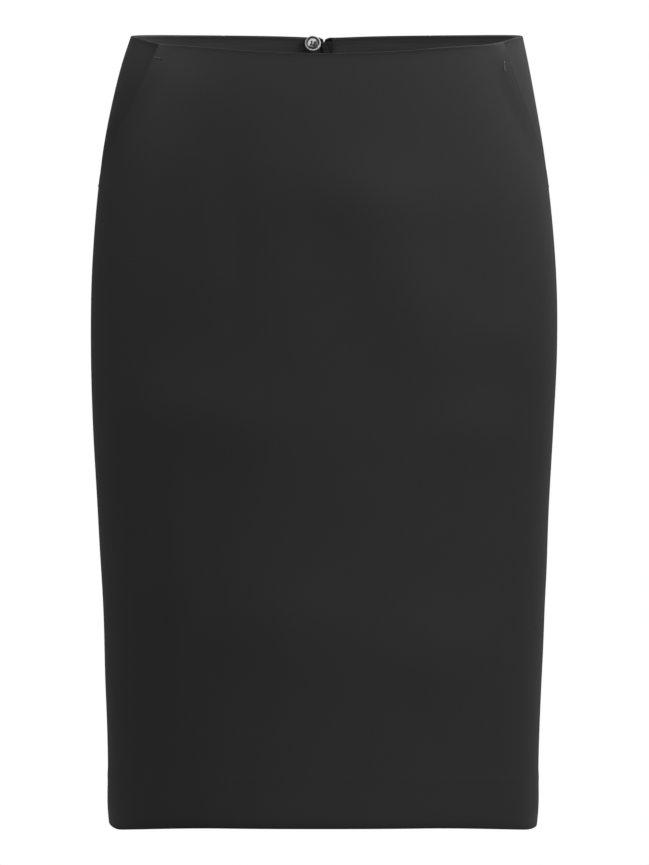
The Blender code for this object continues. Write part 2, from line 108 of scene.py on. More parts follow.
# How thick the cloth lies: alone, folded, at the waist edge and at the hem, and how far each of these goes.
SEAM_WALL = 0.0009
FOLD_WALL = 0.0017
FOLD_REACH = 0.012
FOLD_FADE = 0.001
FOLD_END = (POCKET_DEPTH - 0.004, POCKET_DEPTH)
WAIST_WALL = 0.0015
WAIST_WALL_DEPTH = (0.006, 0.009)
LAYERED_DEPTH = (0.0035, 0.0060)
HIDDEN_TURNING = 0.45
HEM_WALL = 0.0019
HEM_PRINT = 0.00022
HEM_PRINT_WIDTH = 0.0035
FACING_WALL = 0.0008
TAPE_WALL = 0.0005
TAPE_BULK = 0.0006
ALLOWANCE_WALL = 0.0007
ALLOWANCE_WIDTH = 0.012
SEAM_GROOVE = 0.0002
SEAM_GROOVE_WIDTH = 0.0006
# Reach of the edge mask, which makes the cloth rougher near its edges and darkens its colour there as
# painted shade.
EDGE_MATT_AND_SHADE_REACH = 0.0025

# Fineness of the sheets. The steps are distances from an edge or a line at which the cloth has its points.
SPACING = 0.0032
FACING_SPACING = 0.0026
TAPE_SPACING = 0.0035
SLOPE_STEP = 1e-4
WELD = 1e-7
TINY = 1e-6
ROUNDING = np.array((0.0, 0.08, 0.3, 0.65, 1.0, 1.7))
LINE_STEPS = np.array((0.0, 0.0007, 0.0016, 0.0030))
POCKET_END_STEPS = np.array((-0.003, -0.0012, -0.0003, 0.0, 0.001))
HEM_FOLD_STEPS = np.array((-0.002, -0.0005, 0.0005, 0.002))
TURNING_ROWS = (0.0035, 0.0048, *WAIST_WALL_DEPTH)
ANGLES = np.linspace(-math.pi / 2, math.pi / 2, 361)

# Spans between one edge or sewn line of a piece and the next.
FRONT_COUNTS = (140,)
BACK_COUNTS = (26, 34)
BACK_FACING_COUNTS = (60,)
HIP_COUNTS = (26,)
TAPE_COUNTS = (8,)
ALLOWANCE_COUNTS = (4, 4)


class Section(NamedTuple):
    """The body line at one depth: its reach to each side, forward and back, and its shift towards +X."""

    depth: float
    half_width: float
    to_front: float
    to_back: float
    sideways: float


SECTIONS = (
    Section(0.000, 0.1503, 0.0820, 0.0880, 0.0018),
    Section(0.020, 0.1557, 0.0880, 0.0945, 0.0006),
    Section(0.050, 0.1623, 0.0950, 0.1030, -0.0004),
    Section(0.080, 0.1679, 0.1000, 0.1095, -0.0008),
    Section(0.120, 0.1733, 0.1045, 0.1170, -0.0007),
    Section(0.160, 0.1769, 0.1070, 0.1222, -0.0005),
    Section(0.200, 0.1789, 0.1083, 0.1247, -0.0003),
    Section(0.240, 0.1791, 0.1088, 0.1250, -0.0004),
    Section(0.300, 0.1769, 0.1085, 0.1228, -0.0010),
    Section(0.360, 0.1735, 0.1078, 0.1190, -0.0010),
    Section(0.430, 0.1699, 0.1070, 0.1148, -0.0005),
    Section(0.500, 0.1672, 0.1064, 0.1118, -0.0007),
    Section(0.560, 0.1655, 0.1060, 0.1102, -0.0010),
    Section(0.596, 0.1654, 0.1058, 0.1095, -0.0011),
    Section(0.610, 0.1640, 0.1056, 0.1090, -0.0011),
)


class EdgeDip(NamedTuple):
    """How far the waist edge lies below the waist level, at a fraction of the way from front to back."""

    place: float
    drop: float


WAIST_EDGE = (
    EdgeDip(-0.08, 0.0114),
    EdgeDip(0.00, 0.0121),
    EdgeDip(0.08, 0.0114),
    EdgeDip(0.17, 0.0097),
    EdgeDip(0.24, 0.0077),
    EdgeDip(0.30, 0.0064),
    EdgeDip(0.34, 0.0056),
    EdgeDip(0.38, 0.0036),
    EdgeDip(0.42, 0.0013),
    EdgeDip(0.46, 0.0003),
    EdgeDip(0.51, 0.0001),
    EdgeDip(0.62, 0.0001),
    EdgeDip(0.70, 0.0005),
    EdgeDip(0.78, 0.0009),
    EdgeDip(0.90, 0.0017),
    EdgeDip(1.00, 0.0028),
    EdgeDip(1.10, 0.0017),
)


class BackGap(NamedTuple):
    """Half the gap between the two back panels at one depth: they part above the zip slider."""

    depth: float
    half_gap: float


BACK_GAPS = (
    BackGap(0.000, 0.0036),
    BackGap(0.0015, 0.0004),
    BackGap(0.0022, 0.00005),
    BackGap(0.0118, 0.00005),
    BackGap(0.0135, 0.0009),
    BackGap(0.024, 0.0008),
    BackGap(0.032, 0.00015),
    BackGap(0.610, 0.00015),
)
SEAM_SHIFT = 0.0018
SEAM_SHIFT_DEPTH = (0.003, 0.012)
CREASES_FROM = 0.030


class Crease(NamedTuple):
    """A soft ridge, or a trough where its height is negative, lying on the cloth.

    across is its middle's length from the centre front, to the wearer's left where it is positive, and
    row is its depth. lean turns its long direction from straight down towards the wearer's left.
    """

    across: float
    row: float
    long: float
    wide: float
    lean: float
    height: float


CREASES = (
    # Front: broad, shallow folds across the stomach, thighs and knees, and a long one down the right thigh.
    Crease(-0.092, 0.034, 0.034, 0.018, 80, 0.0005),
    Crease(0.034, 0.112, 0.060, 0.032, 80, 0.0034),
    Crease(-0.088, 0.288, 0.065, 0.034, 84, 0.0040),
    Crease(0.106, 0.300, 0.040, 0.028, 95, 0.0030),
    Crease(0.140, 0.228, 0.030, 0.024, 80, 0.0018),
    Crease(-0.027, 0.452, 0.062, 0.042, 86, 0.0042),
    Crease(0.092, 0.474, 0.048, 0.036, 96, 0.0036),
    Crease(-0.119, 0.390, 0.120, 0.018, 1, 0.0034),
    Crease(-0.070, 0.130, 0.080, 0.016, 2, -0.0020),
    Crease(0.062, 0.185, 0.085, 0.032, 24, 0.0046),
    Crease(-0.010, 0.604, 0.070, 0.022, 90, 0.0014),
    # Sides and back: drags under the seat and down to the vent.
    Crease(0.300, 0.170, 0.080, 0.024, -10, 0.0014),
    Crease(0.350, 0.230, 0.075, 0.022, 62, 0.0017),
    Crease(0.385, 0.290, 0.060, 0.024, 80, 0.0015),
    Crease(0.330, 0.400, 0.090, 0.026, 96, 0.0017),
    Crease(0.290, 0.480, 0.060, 0.030, 80, 0.0014),
    Crease(0.400, 0.500, 0.090, 0.020, 4, -0.0010),
    Crease(-0.300, 0.180, 0.080, 0.022, 12, 0.0013),
    Crease(-0.345, 0.245, 0.075, 0.022, -60, 0.0017),
    Crease(-0.390, 0.300, 0.055, 0.022, -82, 0.0015),
    Crease(-0.330, 0.390, 0.080, 0.028, -98, 0.0016),
    Crease(-0.285, 0.500, 0.060, 0.030, -84, 0.0014),
    Crease(-0.400, 0.520, 0.080, 0.020, -4, -0.0009),
)

# Small puckers of the facing, beside the button and along the back waist.
FACING_CREASES = (
    Crease(-0.340, 0.0085, 0.018, 0.0030, 78, 0.0005),
    Crease(-0.322, 0.0060, 0.012, 0.0022, 84, 0.0004),
    Crease(-0.302, 0.0090, 0.014, 0.0026, 100, 0.0005),
    Crease(-0.362, 0.0070, 0.009, 0.0022, 60, 0.0004),
    Crease(0.345, 0.0080, 0.020, 0.0026, 95, 0.0004),
    Crease(0.290, 0.0100, 0.016, 0.0028, 84, 0.0004),
)


# ---- The worn form -------------------------------------------------------------------------------------


def read(table, column, places):
    """The smooth curve through a column of a table, whose first column says where each row stands."""
    places = np.asarray(places, dtype=float)
    stations = np.array([row[0] for row in table])
    values = np.array([getattr(row, column) for row in table])
    slopes = np.gradient(values, stations)
    row = np.clip(np.searchsorted(stations, places, side="right") - 1, 0, len(table) - 2)
    span = stations[row + 1] - stations[row]
    part = np.clip((places - stations[row]) / span, 0.0, 1.0)
    rise = values[row + 1] - values[row]
    bend = part * (1 - part) * span * (slopes[row] * (1 - part) - slopes[row + 1] * part)
    return values[row] + rise * part * part * (3 - 2 * part) + bend


def step(low, high, places):
    """0 up to low, 1 from high on, and a smooth rise between them."""
    part = np.clip((np.asarray(places, dtype=float) - low) / (high - low), 0.0, 1.0)
    return part * part * (3 - 2 * part)


def outline(angle, depth):
    """Plan position on the body line. The angle is -90 degrees at the centre front and 90 at the back."""
    in_front = np.sin(angle) < 0
    squareness = np.where(in_front, FRONT_SQUARENESS, BACK_SQUARENESS)
    reach = np.where(in_front, read(SECTIONS, "to_front", depth), read(SECTIONS, "to_back", depth))
    across = read(SECTIONS, "half_width", depth) * np.abs(np.cos(angle)) ** (2 / squareness)
    along = reach * np.sign(np.sin(angle)) * np.abs(np.sin(angle)) ** (2 / squareness)
    return across, along


def lengths(depth):
    """Cloth length from the centre front to each of ANGLES, at one depth."""
    across, along = outline(ANGLES, np.full(len(ANGLES), depth))
    return np.concatenate(([0.0], np.cumsum(np.hypot(np.diff(across), np.diff(along)))))


def half_girth(depth):
    """Cloth length from the centre front to the centre back, at one depth."""
    return lengths(depth)[-1]


def side_seam(depth):
    """Length from the centre front to the side seam, a little behind the widest place."""
    return lengths(depth)[len(ANGLES) // 2] + SEAM_BEHIND_SIDE


def pocket_edge(side, depth):
    """Length from the centre front to the front panel's edge: the pocket opening, then the side seam."""
    reach = POCKET_REACH_LEFT if side > 0 else POCKET_REACH_RIGHT
    return side_seam(depth) - reach * (1.0 - min(1.0, depth / POCKET_DEPTH) ** POCKET_CURVE)


def wrapped(place):
    """Brings a place that runs past the centre back to the other side."""
    return (np.asarray(place, dtype=float) + 1.0) % 2.0 - 1.0


def waist_edge(place):
    """Depth of the waist edge."""
    return read(WAIST_EDGE, "drop", np.abs(wrapped(place)))


def hem_edge(place):
    """Depth of the hem, which rises a little at the side seams and at the front."""
    place = wrapped(place)
    from_seam = np.abs(place) * half_girth(LENGTH) - side_seam(LENGTH)
    side_height = np.where(place > 0, HEM_RISE_LEFT, HEM_RISE_RIGHT)
    side_rise = 1.0 - step(0.0, HEM_RISE_REACH, np.abs(from_seam))
    front_rise = 1.0 - step(*HEM_FRONT_REACH, np.abs(place))
    return LENGTH - side_height * side_rise - HEM_FRONT_RISE * front_rise


def on_body(places, rows):
    """Points of the body line. Places holds one line of places round for each row."""
    points = []
    for line, row in zip(places, rows):
        line = wrapped(line)
        measured = lengths(row)
        angle = np.interp(np.abs(line) * measured[-1], measured, ANGLES)
        down = row / LENGTH
        depth = waist_edge(line) * (1 - down) + hem_edge(line) * down
        across, along = outline(angle, depth)
        sideways = read(SECTIONS, "sideways", depth)
        points.append(np.stack((np.sign(line) * across + sideways, along, -depth), axis=-1))
    return np.array(points)


def relief(places, rows):
    """How far the creases lift the cloth out of the body line."""
    girth = np.array([half_girth(row) for row in rows])[:, None]
    across, down = wrapped(places) * girth, np.asarray(rows)[:, None]
    strength = bpy.context.scene.skirt_cloth.crease_strength
    return strength * folds(CREASES, across, down) * step(0.0, CREASES_FROM, down)


def folds(creases, across, down):
    """Height of some creases at places given by their lengths from the centre front and their depths."""
    lift = np.zeros(across.shape)
    for crease in creases:
        lean = math.radians(crease.lean)
        x, y = across - crease.across, down - crease.row
        along, beside = y * math.cos(lean) + x * math.sin(lean), x * math.cos(lean) - y * math.sin(lean)
        lift += crease.height * np.exp(-((along / crease.long) ** 2) - (beside / crease.wide) ** 2)
    return lift


def cloth(places, rows):
    """Points of the worn cloth, and unit directions outwards, round it and down it."""
    rows = np.asarray(rows, dtype=float)
    along = on_body(places + SLOPE_STEP, rows) - on_body(places - SLOPE_STEP, rows)
    down = on_body(places, rows + SLOPE_STEP) - on_body(places, rows - SLOPE_STEP)
    along, down = (way / np.linalg.norm(way, axis=-1, keepdims=True) for way in (along, down))
    normal = np.cross(down, along)
    normal /= np.linalg.norm(normal, axis=-1, keepdims=True)
    points = on_body(places, rows) + normal * relief(places, rows)[..., None]
    return points, normal, along, down


def on_cloth(place, row):
    """One point of the body line, and the direction out of the cloth there."""
    place, row = np.array([[place]]), np.array([row])
    _, normal, _, _ = cloth(place, row)
    return Vector(on_body(place, row)[0, 0]), Vector(normal[0, 0])


def gape(side, length, depth):
    """How far a pocket's mouth stands open at a place given by its length from the centre front."""
    along = math.sin(math.pi * min(1.0, depth / POCKET_DEPTH) ** POCKET_GAPE_SKEW)
    from_edge = np.abs(length - pocket_edge(side, depth))
    return along * (1.0 - step(0.0, POCKET_GAPE_REACH, from_edge))


def under_front(side, length, depth):
    """Depth of the hip piece below the body line: under the front panel, and level at the side seam."""
    edge = pocket_edge(side, depth)
    rising = max(HIP_PIECE_LEAST_RISE, HIP_PIECE_RISE * (side_seam(depth) - edge))
    under = 1.0 - step(0.0, rising, length - edge)
    hollow = POCKET_HOLLOW_LEFT if side > 0 else POCKET_HOLLOW_RIGHT
    return UNDER_FRONT * under + hollow * gape(side, length, depth)


def half_gap(row):
    """Half the gap between the back panels."""
    return np.interp(row, [gap.depth for gap in BACK_GAPS], [gap.half_gap for gap in BACK_GAPS])


def seam_shift(row):
    """How far the two panels' meeting line lies from the centre back, towards the wearer's right."""
    return SEAM_SHIFT * (1.0 - float(step(*SEAM_SHIFT_DEPTH, row)))


# ---- Settings ------------------------------------------------------------------------------------------


def colour_setting(name, description, default):
    """A colour that a user can change."""
    return FloatVectorProperty(
        name=name, description=description, default=default, min=0.0, max=1.0, subtype="COLOR", size=3
    )


class ClothSettings(bpy.types.PropertyGroup):
    """Colours and sizes of the cloth."""

    crease_strength: FloatProperty(
        name="Crease strength", description="How deep the soft creases are", default=1.0, min=0.0, max=2.0
    )
    thread_pitch: FloatProperty(
        name="Thread pitch",
        description="Distance from one thread of the weave to the next",
        default=0.00042,
        unit="LENGTH",
    )
    shell_colour: colour_setting(
        "Cloth colour", "Near-black of the outer cloth", (0.0180, 0.0180, 0.0188)
    )
    # Paler than the outer cloth, partly as painted light: it brightens the inside of the waist, which the
    # front panel shades.
    facing_colour_and_light: colour_setting(
        "Facing colour", "Dark grey of the facings inside the waist", (0.0660, 0.0660, 0.0670)
    )
    thread_colour: colour_setting(
        "Thread colour", "Black of the sewing thread", (0.0110, 0.0110, 0.0115)
    )


class TrimSettings(bpy.types.PropertyGroup):
    """Colours and sizes of the zip and the button."""

    button_radius: FloatProperty(
        name="Button radius", description="Half the button's width", default=0.0061, unit="LENGTH"
    )
    button_colour: colour_setting(
        "Button colour", "Dark grey of the glossy button", (0.240, 0.240, 0.245)
    )
    metal_colour: colour_setting(
        "Zip metal colour", "Black enamel of the slider and its pull", (0.022, 0.022, 0.023)
    )
    tape_colour: colour_setting(
        "Zip tape colour", "Black of the knitted tapes", (0.0110, 0.0110, 0.0112)
    )


class StudioSettings(bpy.types.PropertyGroup):
    """The floor, the lights and the camera."""

    floor_drop: FloatProperty(
        name="Floor drop",
        description="How far the floor lies below the hem",
        default=0.30,
        unit="LENGTH",
    )
    lamp_strength: FloatProperty(
        name="Lamp strength", description="Strength of all the lamps together", default=1.0, min=0.0
    )
    world_strength: FloatProperty(
        name="Room light", description="Strength of the even light of the pale room", default=0.04
    )


# ---- Making meshes -------------------------------------------------------------------------------------

CLOTH_MAP = "Cloth"


def deselect_all():
    """Leaves object mode with nothing selected."""
    if bpy.context.object and bpy.context.object.mode != "OBJECT":
        bpy.ops.object.mode_set(mode="OBJECT")
    bpy.ops.object.select_all(action="DESELECT")


def finish_piece(piece, name, material, body=GARMENT, nodes=()):
    """Names a piece, gives it its material, and ties it to the frame."""
    piece.name = piece.data.name = name
    piece.data.materials.clear()
    piece.data.materials.append(material)
    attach(piece, body)
    if nodes:
        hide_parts(*nodes)
    deselect_all()


def apply_place(piece):
    """Puts a piece's place, turn and scale into its mesh."""
    deselect_all()
    piece.select_set(True)
    bpy.context.view_layer.objects.active = piece
    bpy.ops.object.transform_apply(location=True, rotation=True, scale=True)


@contextmanager
def all_selected():
    """Edit mode on the active piece, with all of its mesh selected."""
    bpy.ops.object.mode_set(mode="EDIT")
    bpy.ops.mesh.select_all(action="SELECT")
    yield
    bpy.ops.object.mode_set(mode="OBJECT")


def face_outwards():
    """Turns the selected faces outwards."""
    bpy.ops.mesh.normals_make_consistent(inside=False)


def mark_points(mesh, name, kind, values):
    """Gives each point of a mesh a value."""
    mesh.attributes.new(name, kind, "POINT").data.foreach_set("value", values)


def corner_points(mesh):
    """The number of the point at each corner of a mesh's faces."""
    corners = np.zeros(len(mesh.loops), dtype=int)
    mesh.loops.foreach_get("vertex_index", corners)
    return corners


def use_modifier(piece, kind, **settings):
    """Adds a modifier and applies it."""
    bpy.context.view_layer.objects.active = piece
    modifier = piece.modifiers.new(kind.lower(), kind)
    for key, value in settings.items():
        setattr(modifier, key, value)
    bpy.ops.object.modifier_apply(modifier=modifier.name)


def cut_out(piece, cutter):
    """Cuts the shape of one mesh out of another, and removes the cutter."""
    use_modifier(piece, "BOOLEAN", operation="DIFFERENCE", object=cutter, solver="EXACT")
    bpy.data.objects.remove(cutter, do_unlink=True)


def set_down(piece, axes, sharp_from):
    """Puts a hard piece at its place, smooth but for edges sharper than an angle in degrees."""
    piece.matrix_world = axes
    apply_place(piece)
    bpy.ops.object.shade_smooth_by_angle(angle=math.radians(sharp_from))


def grid(columns, rows):
    """A flat grid of points, first selected all over."""
    deselect_all()
    bpy.ops.mesh.primitive_grid_add(x_subdivisions=columns - 1, y_subdivisions=rows - 1, size=1.0)
    made = bpy.context.object
    if len(made.data.vertices) != columns * rows:
        raise RuntimeError(f"the grid has {len(made.data.vertices)} points, not {columns} x {rows}")
    return made


def wall(places, rows, lift, thickness, beside=None, above=None, kept=None):
    """A closed wall of cloth with rounded edges, on a grid of places.

    lift is how far its outer side stands out of the worn cloth, and thickness goes inwards from there.
    beside and above are the distances from its upright and its level edges, worked out where not given.
    """
    lines, columns = places.shape
    girth = np.array([half_girth(row) for row in rows])[:, None]
    across = places * girth
    if beside is None:
        beside = np.minimum(np.abs(across - across[:, :1]), np.abs(across[:, -1:] - across))
    if above is None:
        above = np.broadcast_to(np.minimum(rows - rows[0], rows[-1] - rows)[:, None], places.shape)
    points, normal, _, _ = cloth(places, rows)
    half = (np.zeros(places.shape) + thickness) / 2
    full = np.ones(places.shape)
    for distance in (beside, above):
        inside = 1.0 - np.clip(distance / half, 0.0, 1.0)
        full *= np.sqrt(1.0 - inside**2)
    middle = points + normal * (lift - half)[..., None]
    outer = (middle + normal * (half * full)[..., None]).reshape(-1, 3)
    inner = (middle - normal * (half * full)[..., None]).reshape(-1, 3)

    made = grid(columns, lines)
    mesh = made.data
    mesh.vertices.foreach_set("co", outer.ravel())
    mark_points(mesh, "number", "INT", np.arange(len(outer)))
    if kept is not None:
        cut_away(mesh, columns, kept)
    first = len(mesh.vertices)
    with all_selected():
        bpy.ops.mesh.extrude_region()
    number = np.zeros(len(mesh.vertices), dtype=int)
    mesh.attributes["number"].data.foreach_get("value", number)
    where = outer[number]
    where[first:] = inner[number[first:]]
    mesh.vertices.foreach_set("co", where.ravel())
    lay_pattern(mesh, np.stack((across.ravel(), np.repeat(rows, columns)), axis=-1), number)
    # Closeness to an edge: the material makes the cloth rougher here and darkens it with painted shade.
    edge_matt_and_shade = np.exp(-np.minimum(beside, above) / EDGE_MATT_AND_SHADE_REACH).ravel()
    mark_points(mesh, "edge_matt_and_shade", "FLOAT", edge_matt_and_shade[number])
    with all_selected():
        bpy.ops.mesh.remove_doubles(threshold=WELD)
        face_outwards()
    mesh.attributes.remove(mesh.attributes["number"])
    bpy.ops.object.shade_smooth()
    return made


def cut_away(mesh, columns, kept):
    """Deletes the faces of a grid that aren't kept. kept is asked for the row and column of each."""
    bpy.ops.object.mode_set(mode="EDIT")
    bpy.ops.mesh.select_mode(type="FACE")
    bpy.ops.object.mode_set(mode="OBJECT")
    first = corner_points(mesh).reshape(-1, 4).min(axis=1)
    for polygon, number in zip(mesh.polygons, first):
        polygon.select = not kept(*divmod(int(number), columns))
    bpy.ops.object.mode_set(mode="EDIT")
    bpy.ops.mesh.delete(type="FACE")
    bpy.ops.object.mode_set(mode="OBJECT")


def lay_pattern(mesh, flat, number):
    """Gives a cloth mesh the map that its weave follows: metres round the body and metres down it."""
    layer = mesh.uv_layers.active or mesh.uv_layers.new()
    layer.name = CLOTH_MAP
    layer.uv.foreach_set("vector", flat[number[corner_points(mesh)]].ravel())


def edge_steps(wall_thickness):
    """Distances from an edge at which a rounded edge needs its points."""
    return ROUNDING * wall_thickness / 2


def even(low, high, spacing=SPACING):
    """Points from just past low to just short of high, about one spacing apart."""
    count = max(2, int(round((high - low) / spacing)) + 1)
    return np.linspace(low, high, count)[1:-1]


def columns_between(low, high, low_steps, high_steps, counts, lines=()):
    """Lengths of one row's points: close together at both edges and beside each line that it names.

    counts says how many spans lie between one edge or line and the next.
    """
    fixed = [low + low_steps]
    start = low + low_steps[-1]
    for line, count in zip(lines, counts):
        fixed.append(np.linspace(start, line - LINE_STEPS[-1], count + 1)[1:-1])
        fixed.append(line + np.concatenate((-LINE_STEPS[::-1], LINE_STEPS[1:])))
        start = line + LINE_STEPS[-1]
    fixed.append(np.linspace(start, high - high_steps[-1], counts[-1] + 1)[1:-1])
    fixed.append(high - high_steps[::-1])
    return np.concatenate(fixed)


def strip_rows(top, bottom, wall_thickness, spacing=SPACING):
    """Rows of a strip with two rounded edges."""
    steps = edge_steps(wall_thickness)
    between = even(top + steps[-1], bottom - steps[-1], spacing)
    return np.concatenate((top + steps, between, bottom - steps[::-1]))


def body_rows():
    """Rows of a panel that runs from the waist edge to the hem, close together at its turned edges."""
    pocket_end = POCKET_DEPTH + POCKET_END_STEPS
    hem_fold = HEM_FOLD + HEM_FOLD_STEPS
    hem = edge_steps(HEM_WALL)
    return np.concatenate(
        (
            edge_steps(WAIST_WALL),
            TURNING_ROWS,
            even(TURNING_ROWS[-1], pocket_end[0]),
            pocket_end,
            even(pocket_end[-1], VENT_DEPTH),
            (VENT_DEPTH,),
            even(VENT_DEPTH, hem_fold[0]),
            hem_fold,
            even(hem_fold[-1], LENGTH - hem[-1]),
            LENGTH - hem[::-1],
        )
    )


def body_wall(rows):
    """Thickness of a panel down its rows: the waist's turnings, one cloth, and the turned-up hem."""
    _, hem_start, hem_full, _ = HEM_FOLD + HEM_FOLD_STEPS
    at_waist = 1.0 - step(*WAIST_WALL_DEPTH, rows)
    at_hem = step(hem_start, hem_full, rows)
    return SEAM_WALL + (WAIST_WALL - SEAM_WALL) * at_waist + (HEM_WALL - SEAM_WALL) * at_hem


def folded_wall(single, from_edge, folded=1.0):
    """Thickness beside an edge that is folded under, for as far as the fold reaches."""
    at_fold = folded * (1.0 - step(FOLD_REACH - FOLD_FADE, FOLD_REACH, from_edge))
    return np.maximum(single, SEAM_WALL + (FOLD_WALL - SEAM_WALL) * at_fold)


def hem_print(rows):
    """How the edge of the turned-up hem shows through the cloth as a faint ridge."""
    return HEM_PRINT * np.exp(-(((rows - HEM_FOLD) / HEM_PRINT_WIDTH) ** 2))


def declare_cloth(widths):
    """States the flat cut of a piece of cloth, from its width at each row and the hem's turning."""
    widths = np.asarray(widths)


# ---- Materials -----------------------------------------------------------------------------------------


def link(tree, source, target):
    """Joins two sockets."""
    tree.links.new(source, target)


def fill(tree, sockets, values):
    """Sets sockets by their names, or joins them where the value is a socket. i0 is the first socket."""
    for key, value in values.items():
        socket = sockets[int(key[1:])] if key in ("i0", "i1") else sockets[key.replace("_", " ")]
        if isinstance(value, bpy.types.NodeSocket):
            link(tree, value, socket)
        else:
            socket.default_value = value


def new_node(tree, kind, operation=None, **inputs):
    """A node with its inputs filled."""
    made = tree.nodes.new(kind)
    if operation:
        made.operation = operation
    fill(tree, made.inputs, inputs)
    return made


def maths(tree, operation, first, second=0.0):
    """The result of one sum."""
    return new_node(tree, "ShaderNodeMath", operation, i0=first, i1=second).outputs[0]


def once(kind, name):
    """Lets a material or a shader group be made the first time, and found by its name after that."""

    def wrap(make):
        def find():
            return getattr(bpy.data, kind).get(name) or make(name)

        find.__doc__ = make.__doc__
        return find

    return wrap


def shader_group(name, inputs, outputs):
    """An empty shader group with named sockets."""
    group = bpy.data.node_groups.new(name, "ShaderNodeTree")
    for socket, kind, value in inputs:
        made = group.interface.new_socket(socket, in_out="INPUT", socket_type=kind)
        if value is not None:
            made.default_value = value
    for socket in outputs:
        group.interface.new_socket(socket, in_out="OUTPUT", socket_type="NodeSocketFloat")
    return group, group.nodes.new("NodeGroupInput").outputs, group.nodes.new("NodeGroupOutput").inputs


@once("node_groups", "Fine twill")
def weave_group(name):
    """A fine twill: over two threads and under two, stepping one thread each row."""
    group, given, out = shader_group(
        name,
        (
            ("Flat cloth", "NodeSocketVector", None),
            ("Threads per metre", "NodeSocketFloat", 2400.0),
            ("Slub", "NodeSocketFloat", 0.3),
        ),
        ("Height", "Shade"),
    )
    scaled = new_node(
        group, "ShaderNodeVectorMath", "SCALE", i0=given["Flat cloth"], Scale=given["Threads per metre"]
    )
    split = new_node(group, "ShaderNodeSeparateXYZ", Vector=scaled.outputs[0])
    warp, weft = split.outputs["X"], split.outputs["Y"]
    step_sum = maths(group, "ADD", maths(group, "FLOOR", warp), maths(group, "FLOOR", weft))
    turn = maths(group, "FRACT", maths(group, "MULTIPLY", step_sum, 0.25))
    warp_up = maths(group, "LESS_THAN", turn, 0.5)
    warp_ridge, weft_ridge = (
        maths(group, "SINE", maths(group, "MULTIPLY", maths(group, "FRACT", thread), math.pi))
        for thread in (warp, weft)
    )
    over = maths(group, "MULTIPLY", warp_ridge, warp_up)
    under = maths(group, "MULTIPLY", weft_ridge, maths(group, "SUBTRACT", 1.0, warp_up))
    slubs = new_node(group, "ShaderNodeTexNoise", Vector=scaled.outputs[0], Scale=0.11, Detail=2.0)
    uneven = maths(group, "MULTIPLY", slubs.outputs["Fac"], given["Slub"])
    link(group, maths(group, "ADD", maths(group, "ADD", over, under), uneven), out["Height"])
    link(group, maths(group, "ADD", maths(group, "MULTIPLY", warp_up, 0.5), uneven), out["Shade"])
    return group


@once("node_groups", "Soft clouds")
def cloud_group(name):
    """Broad, soft unevenness of a surface, and a finer mottle."""
    group, given, out = shader_group(
        name,
        (("Size", "NodeSocketFloat", 0.1), ("Stretch", "NodeSocketFloat", 1.0)),
        ("Clouds", "Mottle"),
    )
    split = new_node(group, "ShaderNodeSeparateXYZ", Vector=object_place(group)).outputs
    tall = maths(group, "DIVIDE", split["Z"], given["Stretch"])
    joined = new_node(group, "ShaderNodeCombineXYZ", X=split["X"], Y=split["Y"], Z=tall).outputs[0]
    scale = maths(group, "DIVIDE", 1.0, given["Size"])
    finer = maths(group, "MULTIPLY", scale, 9.0)
    broad = new_node(group, "ShaderNodeTexNoise", Vector=joined, Scale=scale, Detail=2.0)
    fine = new_node(group, "ShaderNodeTexNoise", Vector=joined, Scale=finer, Detail=3.0)
    link(group, broad.outputs["Fac"], out["Clouds"])
    link(group, fine.outputs["Fac"], out["Mottle"])
    return group


def object_place(tree):
    """The place on a piece, in metres."""
    return new_node(tree, "ShaderNodeTexCoord").outputs["Object"]


def cloth_map(tree):
    """The place on flat cloth, in metres."""
    made = new_node(tree, "ShaderNodeUVMap")
    made.uv_map = CLOTH_MAP
    return made.outputs["UV"]


def point_value(tree, name):
    """The value that each point of a mesh was given."""
    made = new_node(tree, "ShaderNodeAttribute")
    made.attribute_name = name
    return made.outputs["Fac"]


def use_group(tree, group, **inputs):
    """The outputs of a group that is placed in a tree, with its inputs filled."""
    made = tree.nodes.new("ShaderNodeGroup")
    made.node_tree = group
    fill(tree, made.inputs, inputs)
    return made.outputs


def principled(name, **settings):
    """A material with only its Principled shader and output, and that shader's plain values set."""
    made = bpy.data.materials.new(name)
    made.use_nodes = True
    shader = made.node_tree.nodes["Principled BSDF"].inputs
    fill(made.node_tree, shader, settings)
    return made, made.node_tree, shader


def paler(colour, times):
    """A colour made some times as bright, up to white."""
    return [min(1.0, part * times) for part in colour]


def blend_colour(tree, fraction, dark, light):
    """A colour between two, by a fraction that changes over the surface."""
    mix = tree.nodes.new("ShaderNodeMix")
    mix.data_type = "RGBA"
    link(tree, fraction, mix.inputs["Factor"])
    for key, value in (("A", dark), ("B", light)):
        if isinstance(value, bpy.types.NodeSocket):
            link(tree, value, mix.inputs[key])
        else:
            mix.inputs[key].default_value = (*value, 1.0)
    return mix.outputs["Result"]


def blend_value(tree, fraction, low, high):
    """A number between two, by a fraction that changes over the surface."""
    return new_node(tree, "ShaderNodeMapRange", Value=fraction, To_Min=low, To_Max=high).outputs["Result"]


def raised(tree, height, strength, depth):
    """The surface's direction where a pattern of some depth raises it."""
    made = new_node(tree, "ShaderNodeBump", Height=height, Strength=strength, Distance=depth)
    return made.outputs["Normal"]


